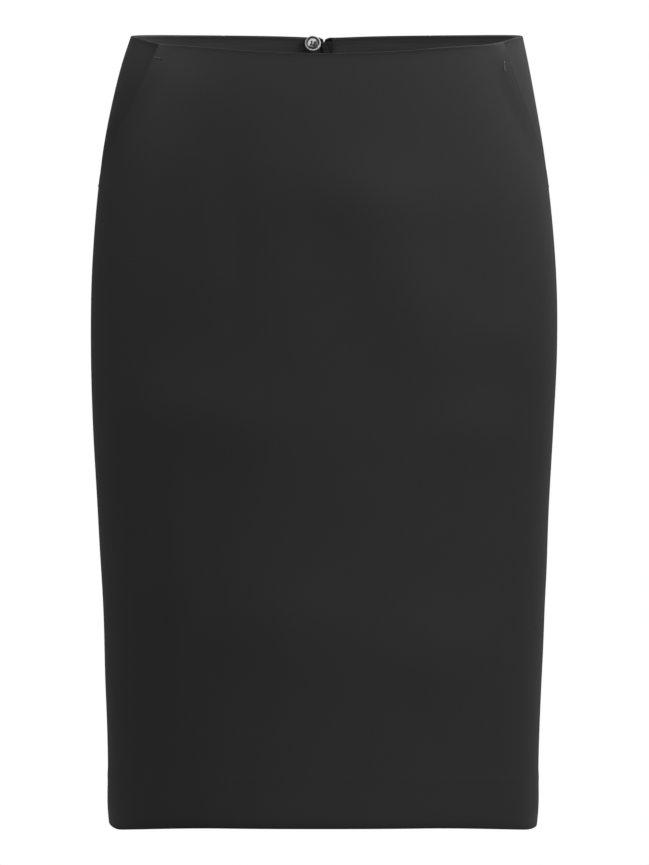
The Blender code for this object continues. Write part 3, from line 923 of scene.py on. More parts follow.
def woven(name, colour, roughness, relief_depth):
    """Cloth: a twill that follows the piece's own map, soft clouds in its colour, and dull dark edges."""
    made, tree, shader = principled(
        name,
        Sheen_Weight=0.03,
        Sheen_Roughness=0.38,
        Sheen_Tint=(0.80, 0.82, 0.88, 1.0),
        Specular_IOR_Level=0.20,
    )
    threads = 1.0 / bpy.context.scene.skirt_cloth.thread_pitch
    twill = use_group(tree, weave_group(), Flat_cloth=cloth_map(tree), Threads_per_metre=threads)
    clouds = use_group(tree, cloud_group(), Size=0.11, Stretch=2.2)
    mixed = maths(tree, "MULTIPLY", twill["Shade"], clouds["Clouds"])
    tone = maths(tree, "ADD", mixed, maths(tree, "MULTIPLY", clouds["Mottle"], 0.4))
    edge_matt_and_shade = point_value(tree, "edge_matt_and_shade")
    flat_colour = blend_colour(tree, tone, colour, paler(colour, 1.35))
    spread = blend_value(tree, clouds["Clouds"], roughness - 0.05, roughness + 0.05)
    # Painted shade: the colour darkens towards the cloth's edges and seams.
    link(tree, blend_colour(tree, edge_matt_and_shade, flat_colour, paler(colour, 0.5)), shader["Base Color"])
    matt = maths(tree, "MULTIPLY", edge_matt_and_shade, 0.16)
    link(tree, maths(tree, "ADD", spread, matt), shader["Roughness"])
    link(tree, raised(tree, twill["Height"], 0.35, relief_depth), shader["Normal"])
    return made


@once("materials", "Outer cloth")
def shell_material(name):
    """The outer cloth."""
    return woven(name, bpy.context.scene.skirt_cloth.shell_colour[:], 0.58, 0.00004)


@once("materials", "Facing cloth")
def facing_material(name):
    """The fused cloth of the facings."""
    return woven(name, bpy.context.scene.skirt_cloth.facing_colour_and_light[:], 0.60, 0.00003)


@once("materials", "Zip tape")
def tape_material(name):
    """The knitted zip tape, with its herringbone ribs."""
    colour = bpy.context.scene.skirt_trim.tape_colour[:]
    made, tree, shader = principled(name, Sheen_Weight=0.15, Sheen_Roughness=0.5)
    ribs = use_group(tree, weave_group(), Flat_cloth=cloth_map(tree), Threads_per_metre=1300.0)
    mottle = use_group(tree, cloud_group(), Size=0.02)["Mottle"]
    link(tree, blend_colour(tree, ribs["Shade"], colour, paler(colour, 1.6)), shader["Base Color"])
    link(tree, blend_value(tree, mottle, 0.6, 0.8), shader["Roughness"])
    link(tree, raised(tree, ribs["Height"], 0.5, 0.0001), shader["Normal"])
    return made


@once("materials", "Sewing thread")
def thread_material(name):
    """Sewing thread, twisted from fine plies."""
    colour = bpy.context.scene.skirt_cloth.thread_colour[:]
    made, tree, shader = principled(name, Sheen_Weight=0.3, Sheen_Roughness=0.4)
    mottle = use_group(tree, cloud_group(), Size=0.004)["Mottle"]
    link(tree, blend_colour(tree, mottle, colour, paler(colour, 2.2)), shader["Base Color"])
    link(tree, blend_value(tree, mottle, 0.42, 0.62), shader["Roughness"])
    link(tree, raised(tree, mottle, 0.5, 0.0001), shader["Normal"])
    return made


@once("materials", "Nylon coil")
def coil_material(name):
    """Black nylon of the coil."""
    colour = bpy.context.scene.skirt_trim.tape_colour[:]
    made, tree, shader = principled(name, Specular_IOR_Level=0.5)
    mottle = use_group(tree, cloud_group(), Size=0.004)["Mottle"]
    link(tree, blend_colour(tree, mottle, colour, paler(colour, 2.0)), shader["Base Color"])
    link(tree, blend_value(tree, mottle, 0.22, 0.36), shader["Roughness"])
    return made


@once("materials", "Black enamel")
def metal_material(name):
    """Black enamel over metal, rubbed a little where hands touch it."""
    colour = bpy.context.scene.skirt_trim.metal_colour[:]
    made, tree, shader = principled(name, Coat_Roughness=0.12)
    clouds = use_group(tree, cloud_group(), Size=0.006)
    worn = maths(tree, "MULTIPLY", maths(tree, "SUBTRACT", clouds["Mottle"], 0.55), 3.0)
    rubbed = new_node(tree, "ShaderNodeClamp", Value=worn).outputs[0]
    link(tree, blend_colour(tree, rubbed, colour, (0.10, 0.10, 0.105)), shader["Base Color"])
    link(tree, blend_value(tree, clouds["Clouds"], 0.24, 0.40), shader["Roughness"])
    link(tree, blend_value(tree, rubbed, 0.0, 0.8), shader["Metallic"])
    link(tree, blend_value(tree, rubbed, 0.6, 0.1), shader["Coat Weight"])
    link(tree, raised(tree, clouds["Mottle"], 0.15, 0.00005), shader["Normal"])
    return made


@once("materials", "Button polyester")
def button_material(name):
    """Glossy smoky polyester, paler where its pearl shows, with a faint swirl."""
    colour = bpy.context.scene.skirt_trim.button_colour[:]
    made, tree, shader = principled(name, Coat_Roughness=0.08, Specular_IOR_Level=0.5)
    swirl = new_node(
        tree, "ShaderNodeTexNoise", Vector=object_place(tree), Scale=190.0, Detail=2.0, Distortion=2.5
    )
    clouds = use_group(tree, cloud_group(), Size=0.008)
    shine = blend_value(tree, swirl.outputs["Fac"], 0.65, 1.1)
    # Painted highlight: the pale patches on the dish and rim are painted into the colour, and the swirl
    # only varies them.
    pale = maths(tree, "MULTIPLY", point_value(tree, "painted_highlight"), shine)
    link(tree, blend_colour(tree, pale, paler(colour, 0.1), paler(colour, 3.6)), shader["Base Color"])
    link(tree, blend_value(tree, clouds["Mottle"], 0.18, 0.30), shader["Roughness"])
    link(tree, blend_value(tree, clouds["Clouds"], 0.2, 0.4), shader["Coat Weight"])
    return made


# ---- Cloth pieces --------------------------------------------------------------------------------------

DART_TOP = 0.081
DART_END = 0.086
DART_DEPTH = 0.112
DART_FADE = 0.030
DART_GROOVE = 0.0005
DART_GROOVE_WIDTH = 0.0009

# The underlap starts just short of the seam, and tucks in behind the lap by the lap's wall and a gap.
UNDERLAP_TO_SEAM = 0.0004
TUCK_GAP = 0.0007
TUCK_ACROSS = (0.0003, FACING_TO_ZIP)
TUCK_DEPTH = (VENT_DEPTH - 0.012, VENT_DEPTH)

# Where the pressed-open allowances start and end.
SIDE_ALLOWANCE = (FACING_DEPTH + 0.0015, LENGTH - 0.004)
BACK_ALLOWANCE = (ZIP_DEPTH - 0.004, VENT_DEPTH + 0.006)

# How far behind the side seam the facing comes out from behind the hip piece.
FACING_PAST_SEAM = 0.010


class SKIRT_OT_front(bpy.types.Operator):
    """Makes the front panel, with folded pocket edges and a turned-up hem"""

    bl_idname = "skirt.front"
    bl_label = "Front Panel"

    def execute(self, context):
        rows = body_rows()
        places, lift, thick, widths = [], [], [], []
        fold, seam = edge_steps(FOLD_WALL), edge_steps(SEAM_WALL)
        for row, single in zip(rows, body_wall(rows)):
            low, high = -(pocket_edge(-1, row) - SEAM_GAP / 2), pocket_edge(1, row) - SEAM_GAP / 2
            folded = 1.0 - step(*FOLD_END, row)
            steps = seam + (fold - seam) * folded
            line = columns_between(low, high, steps, steps, FRONT_COUNTS)
            places.append(line / half_girth(row))
            widths.append(high - low)
            opened = gape(1, line, row) + gape(-1, -line, row)
            lift.append(POCKET_GAPE * opened + hem_print(row))
            from_edge = np.minimum(line - low, high - line)
            if row < WAIST_WALL_DEPTH[1]:
                single = self.waist_wall(single, opened, from_edge, line, row)
            thick.append(folded_wall(single, from_edge, folded))
        piece = wall(np.array(places), rows, np.array(lift), np.array(thick))
        finish_piece(piece, "front_cloth", shell_material(), nodes=("front_panel",))
        declare_cloth(widths)
        return {"FINISHED"}

    def waist_wall(self, single, opened, from_edge, line, row):
        """Thickness inside the waist edge: over a hip piece, the turnings fill the space down to it."""
        sunk = np.maximum(under_front(1, line, row), under_front(-1, -line, row))
        to_hip = POCKET_GAPE * opened + sunk - LAYER_GAP
        over_hip = SEAM_WALL + (to_hip - SEAM_WALL) * (1.0 - step(*LAYERED_DEPTH, row))
        near_hip = 1.0 - step(POCKET_UNDER, POCKET_UNDER + FACING_STEP[0], from_edge)
        return single + (over_hip - single) * near_hip


class SKIRT_OT_hips(bpy.types.Operator):
    """Makes the two hip pieces behind the slant pocket openings"""

    bl_idname = "skirt.hips"
    bl_label = "Hip Pieces"

    def execute(self, context):
        for side, hand in ((1, "left"), (-1, "right")):
            self.make(side, hand)
        return {"FINISHED"}

    def make(self, side, hand):
        """One hip piece, from under the front panel to the side seam."""
        seam = edge_steps(SEAM_WALL)
        rows = np.concatenate(
            (
                edge_steps(WAIST_WALL),
                TURNING_ROWS,
                even(TURNING_ROWS[-1], POCKET_DEPTH),
                (POCKET_DEPTH,),
                even(POCKET_DEPTH, HIP_PIECE_DEPTH - seam[-1]),
                HIP_PIECE_DEPTH - seam[::-1],
            )
        )
        places, lift, thick, widths = [], [], [], []
        for row in rows:
            low, high = pocket_edge(side, row) - POCKET_UNDER, side_seam(row) - SEAM_GAP / 2
            line = columns_between(low, high, seam, seam, HIP_COUNTS)
            places.append(side * line / half_girth(row))
            widths.append(high - low)
            sunk = under_front(side, line, row)
            lift.append(-sunk)
            at_waist = 1.0 - step(*WAIST_WALL_DEPTH, row)
            shown = 1.0 - np.minimum(1.0, sunk / UNDER_FRONT)
            turned = at_waist * (HIDDEN_TURNING + (1.0 - HIDDEN_TURNING) * shown)
            thick.append(SEAM_WALL + (WAIST_WALL - SEAM_WALL) * turned)
        piece = wall(np.array(places), rows, np.array(lift), np.array(thick))
        name = f"hip_cloth_{hand}"
        finish_piece(piece, name, shell_material(), nodes=(f"hip_piece_{hand}",))
        declare_cloth(widths)


class SKIRT_OT_backs(bpy.types.Operator):
    """Makes the two halves of the back, with their darts, and the lap and underlap of the vent"""

    bl_idname = "skirt.backs"
    bl_label = "Back Panels"

    def execute(self, context):
        self.lap_side()
        self.underlap_side()
        return {"FINISHED"}

    def groove(self, from_centre, row):
        """How deep the dart's seam draws the cloth in."""
        near = np.exp(-(((from_centre - self.dart(row)) / DART_GROOVE_WIDTH) ** 2))
        return DART_GROOVE * near * (1.0 - step(DART_DEPTH - DART_FADE, DART_DEPTH, row))

    def dart(self, row):
        """Length from the centre back to the dart."""
        return DART_TOP + (DART_END - DART_TOP) * min(row, DART_DEPTH) / DART_DEPTH

    def from_centre(self, side, row, steps):
        """Lengths from the centre back to a row's points, out to the side seam."""
        reach = half_girth(row) - side_seam(row) - SEAM_GAP / 2
        start = half_gap(row) - side * seam_shift(row)
        return columns_between(
            start, reach, steps, edge_steps(SEAM_WALL), BACK_COUNTS, (self.dart(row),)
        )

    def lap_side(self):
        """The half on the wearer's left, whose folded edge laps over the vent."""
        rows = body_rows()
        places, lift, thick, widths = [], [], [], []
        for row, single in zip(rows, body_wall(rows)):
            line = self.from_centre(1, row, edge_steps(FOLD_WALL))
            places.append(1.0 - line[::-1] / half_girth(row))
            widths.append(line[-1] - line[0])
            lift.append((hem_print(row) - self.groove(line, row))[::-1])
            thick.append(folded_wall(single, line - line[0])[::-1])
        piece = wall(np.array(places), rows, np.array(lift), np.array(thick))
        self.finish_half(piece, "left", widths, rows)

    def underlap_side(self):
        """The half on the wearer's right, with the vent's underlap cut in one with it."""
        rows = body_rows()
        fold = edge_steps(FOLD_WALL)
        lap_edge = -VENT_OVERLAP + fold
        lap = np.concatenate((lap_edge, even(lap_edge[-1], -UNDERLAP_TO_SEAM)))
        vented = rows > VENT_DEPTH - TINY
        places, lift, thick, beside, above, widths = [], [], [], [], [], []
        for row, single, has_lap in zip(rows, body_wall(rows), vented):
            main = self.from_centre(-1, row, fold)
            line = np.concatenate((lap, main))
            start = -VENT_OVERLAP if has_lap else main[0]
            places.append(-1.0 + line / half_girth(row))
            widths.append(main[-1] - start)
            tucked = (max(single, FOLD_WALL) + TUCK_GAP) * (1.0 - step(*TUCK_ACROSS, line))
            lift.append(hem_print(row) - self.groove(line, row) - tucked * step(*TUCK_DEPTH, row))
            thick.append(folded_wall(single, np.abs(line - start)))
            beside.append(np.clip(np.minimum(line - start, main[-1] - line), 0.0, None))
            from_top = np.where(line < 0, max(0.0, row - VENT_DEPTH), row)
            above.append(np.minimum(from_top, LENGTH - row))
        piece = wall(
            np.array(places),
            rows,
            np.array(lift),
            np.array(thick),
            beside=np.array(beside),
            above=np.array(above),
            kept=lambda row, column: column >= len(lap) or vented[row],
        )
        self.finish_half(piece, "right", widths, rows)

    def finish_half(self, piece, hand, widths, rows):
        """Names one half and states its cut."""
        nodes = (f"back_panel_{hand}",)
        finish_piece(piece, f"back_cloth_{hand}", shell_material(), nodes=nodes)
        declare_cloth(widths)


class SKIRT_OT_allowances(bpy.types.Operator):
    """Makes the pressed-open allowances inside the side seams and the centre back seam"""

    bl_idname = "skirt.allowances"
    bl_label = "Seam Allowances"

    def execute(self, context):
        for side, hand in ((1, "left"), (-1, "right")):
            self.strip(f"seam_allowance_{hand}", side, side_seam, *SIDE_ALLOWANCE)
        self.strip("seam_allowance_back", 1, half_girth, *BACK_ALLOWANCE)
        return {"FINISHED"}

    def strip(self, name, side, seam, top, bottom):
        """Both allowances of one seam, with the fine groove between them."""
        steps = edge_steps(ALLOWANCE_WALL)
        rows = strip_rows(top, bottom, ALLOWANCE_WALL)
        places, lift = [], []
        for row in rows:
            middle = seam(row)
            low, high = middle - ALLOWANCE_WIDTH, middle + ALLOWANCE_WIDTH
            line = columns_between(low, high, steps, steps, ALLOWANCE_COUNTS, (middle,))
            places.append(side * line / half_girth(row))
            groove = SEAM_GROOVE * np.exp(-(((line - middle) / SEAM_GROOVE_WIDTH) ** 2))
            sunk = float(body_wall(row)) + LAYER_GAP + groove
            if row < POCKET_DEPTH:
                sunk = sunk + under_front(side, line, row) * (line < middle)
            lift.append(-sunk)
        piece = wall(np.array(places), rows, np.array(lift), ALLOWANCE_WALL)
        finish_piece(piece, name, shell_material())
        declare_cloth(np.full(len(rows), 2 * ALLOWANCE_WIDTH))


def facing_lift(places, rows):
    """How far below the body line the outer side of the facing lies."""
    lift = []
    for line, row in zip(places, rows):
        length = wrapped(line) * half_girth(row)
        behind = np.full(len(line), WAIST_WALL + LAYER_GAP)
        for hand in (-1, 1):
            along = hand * length
            starts = pocket_edge(hand, row) - POCKET_UNDER
            covered = step(starts - FACING_STEP[0], starts - FACING_STEP[1], along)
            in_front = 1.0 - step(side_seam(row), side_seam(row) + FACING_PAST_SEAM, along)
            behind = behind + covered * in_front * (under_front(hand, along, row) * FACING_TO_HIP_PIECE)
        from_centre = half_girth(row) - np.abs(length)
        over_tape = 1.0 - step(TAPE_WIDTH, VENT_OVERLAP, from_centre)
        lift.append(-(behind + over_tape * TAPE_BULK) - folds(FACING_CREASES, length, row))
    return np.array(lift)


class SKIRT_OT_facings(bpy.types.Operator):
    """Makes the facings inside the waist"""

    bl_idname = "skirt.facings"
    bl_label = "Waist Facings"

    def execute(self, context):
        self.band("facing_cloth_front", self.front_line, "front_facing")
        for side, hand in ((1, "left"), (-1, "right")):
            self.band(
                f"facing_cloth_back_{hand}",
                lambda row, steps, side=side: self.back_line(row, steps, side),
                f"back_facing_{hand}",
            )
        return {"FINISHED"}

    def front_line(self, row, steps):
        """Places of the front facing's points in one row."""
        side = side_seam(row) - SEAM_GAP / 2
        return columns_between(-side, side, steps, steps, FRONT_COUNTS) / half_girth(row)

    def back_line(self, row, steps, side):
        """Places of a back facing's points in one row."""
        reach = half_girth(row) - side_seam(row) - SEAM_GAP / 2
        line = columns_between(FACING_TO_ZIP, reach, steps, steps, BACK_FACING_COUNTS)
        return side * (1.0 - line / half_girth(row))

    def band(self, name, line, node):
        """One facing, from just under the waist edge to its lower edge."""
        steps = edge_steps(FACING_WALL)
        rows = strip_rows(FACING_TOP, FACING_DEPTH, FACING_WALL, FACING_SPACING)
        places = np.array([line(row, steps) for row in rows])
        widths = [abs(row[-1] - row[0]) * half_girth(depth) for row, depth in zip(places, rows)]
        piece = wall(places, rows, facing_lift(places, rows), FACING_WALL)
        finish_piece(piece, name, facing_material(), nodes=(node,))
        declare_cloth(widths)


# ---- Threads -------------------------------------------------------------------------------------------


class Sewing(NamedTuple):
    """How thick the stitches of one kind are drawn, and how long each is."""

    radius: float
    length: float


UNDERSTITCH = Sewing(0.00022, 0.0025)
UNDERSTITCH_ROW = 0.0042
UNDERSTITCH_PITCH = 0.0029
UNDERSTITCH_END = FACING_TO_ZIP + 0.001
BAR_STITCH = Sewing(0.00024, 0.0016)
BAR_LENGTH = 0.0070
BAR_PITCH = 0.00036
BAR_SLANT = 0.2
BAR_LIFT = 0.00012
VENT_STITCH = Sewing(0.00020, 0.0021)
VENT_STITCHES = 17
VENT_STITCH_ENDS = 0.0015
VENT_STITCH_START = VENT_DEPTH - 0.002
VENT_STITCH_DROP = 0.020
VENT_STITCH_LEAN = (-0.87, 0.49)
VENT_STITCH_LIFT = 0.00005
OVERLOCK = Sewing(0.00017, 0.0040)
OVERLOCK_ROW = HEM_FOLD + 0.0012
OVERLOCK_PITCH = 0.0018
OVERLOCK_END = 0.002
OVERLOCK_SLANT = 0.45
BUTTON_STRAND = Sewing(0.00026, 0.0038)
COIL_MESHED = Sewing(0.00040, 0.0040)
COIL_PARTED = Sewing(0.00040, 0.0034)


class BarTack(NamedTuple):
    """A bar of close stitches: its outer end's depth and length in from the pocket edge, and how it leans.

    A lean of 0 runs level towards the centre front, and one of 90 degrees runs straight down.
    """

    side: int
    row: float
    inward: float
    lean: float


BAR_TACKS = (
    BarTack(1, 0.0150, 0.0072, 80),
    BarTack(1, POCKET_DEPTH - 0.004, 0.0006, 0),
    BarTack(-1, 0.0112, 0.0030, 0),
    BarTack(-1, POCKET_DEPTH - 0.004, 0.0006, 0),
)


class Stitch(NamedTuple):
    """One stitch of thread: its middle, its direction and the direction out of the cloth."""

    middle: np.ndarray
    along: np.ndarray
    out: np.ndarray


def stitches_at(middles, ways, outs):
    """Stitches from lists of their middles and directions."""
    return [Stitch(*parts) for parts in zip(middles, ways, outs)]


def pointwise(places, rows):
    """Points of the cloth and their directions for single places, each at a row of its own."""
    found = cloth(np.asarray(places)[:, None], np.asarray(rows))
    return [values[:, 0, :] for values in found]


def stitch_mould(sewing):
    """One stitch, as a slim spindle along X."""
    deselect_all()
    bpy.ops.mesh.primitive_uv_sphere_add(segments=6, ring_count=4, radius=1.0)
    made = bpy.context.object
    made.rotation_euler = (0.0, math.pi / 2, 0.0)
    apply_place(made)
    with all_selected():
        bpy.ops.transform.resize(value=(sewing.length / 2, sewing.radius, sewing.radius))
    return made


def thread_run(name, stitches, sewing, material):
    """Many like stitches in one mesh, copied from one mould."""
    mould = stitch_mould(sewing)
    points = np.array([vertex.co[:] for vertex in mould.data.vertices])
    faces = [list(polygon.vertices) for polygon in mould.data.polygons]
    bpy.data.objects.remove(mould, do_unlink=True)
    all_points, all_faces = [], []
    for i, stitch in enumerate(stitches):
        along = stitch.along / np.linalg.norm(stitch.along)
        out = stitch.out - along * np.dot(stitch.out, along)
        out = out / np.linalg.norm(out)
        axes = np.array((along, np.cross(out, along), out))
        all_points.append(points @ axes + stitch.middle)
        all_faces.extend([corner + i * len(points) for corner in face] for face in faces)
    mesh = bpy.data.meshes.new(name)
    mesh.from_pydata(np.concatenate(all_points), [], all_faces)
    made = bpy.data.objects.new(name, mesh)
    bpy.context.collection.objects.link(made)
    deselect_all()
    made.select_set(True)
    bpy.context.view_layer.objects.active = made
    bpy.ops.object.shade_smooth()
    finish_piece(made, name, material)


class SKIRT_OT_stitching(bpy.types.Operator):
    """Sews the facings, the pocket corners, the vent and the hem"""

    bl_idname = "skirt.stitching"
    bl_label = "Stitching"

    def execute(self, context):
        self.understitch()
        self.bar_tacks()
        self.vent_stitch()
        self.hem_stitch()
        return {"FINISHED"}

    def understitch(self):
        """A row of stitches along the top of the facings, on the inside."""
        girth = half_girth(UNDERSTITCH_ROW)
        reach = girth - UNDERSTITCH_END
        length = np.arange(-reach, reach, UNDERSTITCH_PITCH)
        places, rows = length / girth, np.full(len(length), UNDERSTITCH_ROW)
        points, normal, along, _ = pointwise(places, rows)
        depth = facing_lift(places[:, None], rows) - FACING_WALL
        stitches = stitches_at(points + normal * depth, along, normal)
        thread_run("understitch", stitches, UNDERSTITCH, thread_material())

    def bar_tacks(self):
        """Bars of close stitches that strengthen both ends of each pocket opening."""
        for side, hand in ((1, "left"), (-1, "right")):
            stitches = [
                stitch for tack in BAR_TACKS if tack.side == side for stitch in self.bar(tack)
            ]
            thread_run(f"bar_tacks_{hand}", stitches, BAR_STITCH, thread_material())

    def bar(self, tack):
        """The stitches of one bar tack."""
        side, lean = tack.side, math.radians(tack.lean)
        share = np.arange(0.0, BAR_LENGTH, BAR_PITCH)
        line = pocket_edge(side, tack.row) - tack.inward - share * math.cos(lean)
        rows = tack.row + share * math.sin(lean)
        points, normal, along, down = pointwise(side * line / half_girth(tack.row), rows)
        lift = POCKET_GAPE * gape(side, line, tack.row) + BAR_LIFT
        across = down * math.cos(lean) + along * (BAR_SLANT + side * math.sin(lean))
        return stitches_at(points + normal * lift[:, None], across, normal)

    def vent_stitch(self):
        """The slanted stitching that holds the top of the vent."""
        share = np.linspace(0.0, 1.0, VENT_STITCHES)
        across = VENT_STITCH_ENDS + share * (VENT_OVERLAP - 2 * VENT_STITCH_ENDS)
        rows = VENT_STITCH_START + share * VENT_STITCH_DROP
        girth = np.array([half_girth(row) for row in rows])
        points, normal, along, down = pointwise(1.0 - across / girth, rows)
        level, fall = VENT_STITCH_LEAN
        stitches = stitches_at(points + normal * VENT_STITCH_LIFT, along * level + down * fall, normal)
        thread_run("vent_stitch", stitches, VENT_STITCH, thread_material())

    def hem_stitch(self):
        """Overlocked edge of the hem's turning, on the inside."""
        girth = half_girth(OVERLOCK_ROW)
        length = np.arange(-girth + VENT_OVERLAP + OVERLOCK_END, girth - OVERLOCK_END, OVERLOCK_PITCH)
        rows = np.full(len(length), OVERLOCK_ROW)
        points, normal, along, down = pointwise(length / girth, rows)
        slant = np.where(np.arange(len(length)) % 2, OVERLOCK_SLANT, -OVERLOCK_SLANT)[:, None]
        inside = points - normal * (HEM_WALL - LAYER_GAP)
        stitches = stitches_at(inside, down + slant * along, normal)
        thread_run("hem_overlock", stitches, OVERLOCK, thread_material())


# ---- Zip -----------------------------------------------------------------------------------------------

TAPE_REACH = TAPE_WIDTH - 0.0005
HARD_EDGE = 40

# The coil is meshed below the slider, and parted on the two tapes above it, where its turns lie closer.
COIL_UNDER = TAPE_LIFT - TAPE_WALL - 0.0006
COIL_PITCH = 0.00085
COIL_PARTED_PITCH = COIL_PITCH * 0.7
COIL_MESHED_ROWS = (SLIDER_DEPTH + 0.0075, ZIP_DEPTH - 0.009)
COIL_PARTED_ROWS = (TAPE_TOP + 0.0004, SLIDER_DEPTH - 0.0045)
COIL_MESHED_SHIFT = 0.0004
COIL_PARTED_SHIFT = 0.0010

STOP_DEPTH = ZIP_DEPTH - 0.0065
STOP_SIZE = (0.0056, 0.0016, 0.0042)
STOP_BEVEL = 0.0005

PULL_THICKNESS = 0.0009
PULL_HALF_BAR = 0.00045
PULL_BEVEL = 0.00016
PULL_BEVEL_FROM = 0.6
WINDOW_BEVEL = 0.0006
WINDOW_CUTTER = 0.01


class PullEdge(NamedTuple):
    """A point of the pull tab's edge: half its width there, and its height over the hinge axis."""

    half_width: float
    height: float


PULL_OUTLINE = (
    PullEdge(0.0024, PULL_HALF_BAR),
    PullEdge(0.0024, -0.0036),
    PullEdge(0.0015, -0.0058),
    PullEdge(0.0016, -0.0080),
    PullEdge(0.0023, -0.0125),
    PullEdge(0.0026, -0.0155),
    PullEdge(0.0022, -0.0180),
    PullEdge(0.0011, -0.0193),
)


class Window(NamedTuple):
    """An opening through the pull tab: its width, its height, and the height of its middle."""

    width: float
    height: float
    middle: float


PULL_WINDOWS = (
    Window(0.0027, 0.0027, -PULL_HALF_BAR - 0.00135),
    Window(0.0020, 0.0040, -0.0140),
)


def seam_frame(depth):
    """Axes on the centre back seam: X across, Y out of the cloth, Z up along it."""
    origin, out = on_cloth(1.0, depth)
    across = Vector((1.0, 0.0, 0.0))
    up = across.cross(out).normalized()
    axes = Matrix((across, up.cross(across), up)).transposed().to_4x4()
    axes.translation = origin
    return axes


class SKIRT_OT_zip(bpy.types.Operator):
    """Makes the concealed zip: tapes, coil, bottom stop and pull tab"""

    bl_idname = "skirt.zip"
    bl_label = "Concealed Zip"

    def execute(self, context):
        for side, hand in ((1, "left"), (-1, "right")):
            self.tape(side, hand)
        self.coil()
        self.stop()
        self.pull()
        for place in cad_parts["zip_slider"].material_slots:
            place.material = metal_material()
        return {"FINISHED"}

    def tape(self, side, hand):
        """One tape, inside the back panel."""
        steps = edge_steps(TAPE_WALL)
        rows = strip_rows(TAPE_TOP, ZIP_DEPTH, TAPE_WALL, TAPE_SPACING)
        line = columns_between(TAPE_TO_CENTRE, TAPE_REACH, steps, steps, TAPE_COUNTS)
        places = np.array([side * (1.0 - line / half_girth(row)) for row in rows])
        piece = wall(places, rows, TAPE_LIFT, TAPE_WALL)
        nodes = (f"zip_tape_{hand}",)
        finish_piece(piece, f"zip_tape_cloth_{hand}", tape_material(), nodes=nodes)
        declare_cloth(np.full(len(rows), line[-1] - line[0]))

    def coil(self):
        """The coil, in its meshed and its parted run."""
        meshed = [
            self.tooth(row, COIL_MESHED_SHIFT if i % 2 else -COIL_MESHED_SHIFT)
            for i, row in enumerate(np.arange(*COIL_MESHED_ROWS, COIL_PITCH))
        ]
        parted = [
            self.tooth(row, side * COIL_PARTED_SHIFT - seam_shift(row))
            for row in np.arange(*COIL_PARTED_ROWS, COIL_PARTED_PITCH)
            for side in (-1, 1)
        ]
        thread_run("zip_coil", meshed, COIL_MESHED, coil_material())
        thread_run("zip_coil_parted", parted, COIL_PARTED, coil_material())

    def tooth(self, row, shift):
        """One turn of the coil, as it lies across the tapes."""
        points, normal, along, _ = pointwise([1.0 - shift / half_girth(row)], [row])
        return Stitch(points[0] + normal[0] * COIL_UNDER, along[0], normal[0])

    def stop(self):
        """The metal clamp at the bottom of the zip."""
        deselect_all()
        bpy.ops.mesh.primitive_cube_add(size=1.0)
        made = bpy.context.object
        made.scale = STOP_SIZE
        made.location = (0.0, COIL_UNDER, 0.0)
        apply_place(made)
        use_modifier(made, "BEVEL", width=STOP_BEVEL, segments=3)
        set_down(made, seam_frame(STOP_DEPTH), HARD_EDGE)
        finish_piece(made, "zip_stop", metal_material())

    def pull(self):
        """The pull tab: a waisted drop with an eye, softly rounded."""
        loop = [*PULL_OUTLINE, *[PullEdge(-x, z) for x, z in reversed(PULL_OUTLINE)]]
        deselect_all()
        first = PULL_OUTLINE[0]
        bpy.ops.mesh.primitive_circle_add(
            vertices=len(loop), radius=first.half_width, fill_type="NGON"
        )
        made = bpy.context.object
        for vertex, (x, z) in zip(made.data.vertices, loop):
            vertex.co = (x, PULL_THICKNESS / 2, z)
        with all_selected():
            through = {"value": (0.0, -PULL_THICKNESS, 0.0)}
            bpy.ops.mesh.extrude_region_move(TRANSFORM_OT_translate=through)
            bpy.ops.mesh.select_all(action="SELECT")
            face_outwards()
        for window in PULL_WINDOWS:
            self.cut_window(made, window)
        rounding = {"segments": 2, "limit_method": "ANGLE", "angle_limit": PULL_BEVEL_FROM}
        use_modifier(made, "BEVEL", width=PULL_BEVEL, **rounding)
        axes = seam_frame(SLIDER_DEPTH)
        axes.translation += axes.to_3x3() @ Vector((0.0, PIVOT_OUT, 0.0))
        set_down(made, axes, HARD_EDGE)
        finish_piece(made, "pull_tab_enamel", metal_material(), PULL_BODY, ("zip_pull",))

    def cut_window(self, made, window):
        """Cuts a window with rounded corners through the pull."""
        deselect_all()
        bpy.ops.mesh.primitive_cube_add(size=1.0, location=(0.0, 0.0, window.middle))
        cutter = bpy.context.object
        cutter.scale = (window.width, WINDOW_CUTTER, window.height)
        apply_place(cutter)
        use_modifier(cutter, "BEVEL", width=WINDOW_BEVEL, segments=3, affect="EDGES")
        cut_out(made, cutter)


# ---- Button --------------------------------------------------------------------------------------------


class Turning(NamedTuple):
    """A ring of the turned button: its radius and its height above the back, as parts of the button's."""

    radius: float
    height: float


BUTTON_PROFILE = (
    Turning(0.800, 0.000),
    Turning(0.900, 0.030),
    Turning(0.970, 0.110),
    Turning(1.000, 0.220),
    Turning(0.995, 0.310),
    Turning(0.970, 0.375),
    Turning(0.930, 0.410),
    Turning(0.885, 0.415),
    Turning(0.840, 0.395),
    Turning(0.800, 0.340),
    Turning(0.770, 0.260),
    Turning(0.740, 0.215),
    Turning(0.700, 0.215),
    Turning(0.650, 0.250),
    Turning(0.580, 0.285),
    Turning(0.450, 0.290),
    Turning(0.240, 0.275),
)
BUTTON_FROM_CENTRE = 0.0106
BUTTON_BELOW_EDGE = 0.0034
BUTTON_DROOP = math.radians(-36)
BUTTON_TURN = math.radians(-13)
BUTTON_INSIDE = 0.0058
BUTTON_STEPS = 64
BUTTON_HARD_EDGE = 50
HOLE_RADIUS = 0.00072
HOLE_OUT = 0.00124
HOLE_BEVEL = 0.00012
HOLE_BEVEL_FROM = 0.9
HOLE_STEPS = 20
DRILL_LENGTH = 0.02
STRAND_SHIFT = 0.0003
STRAND_HEIGHT = 0.00195
STRAND_CROWN = 0.6
SHANK_HEIGHT = -0.0008
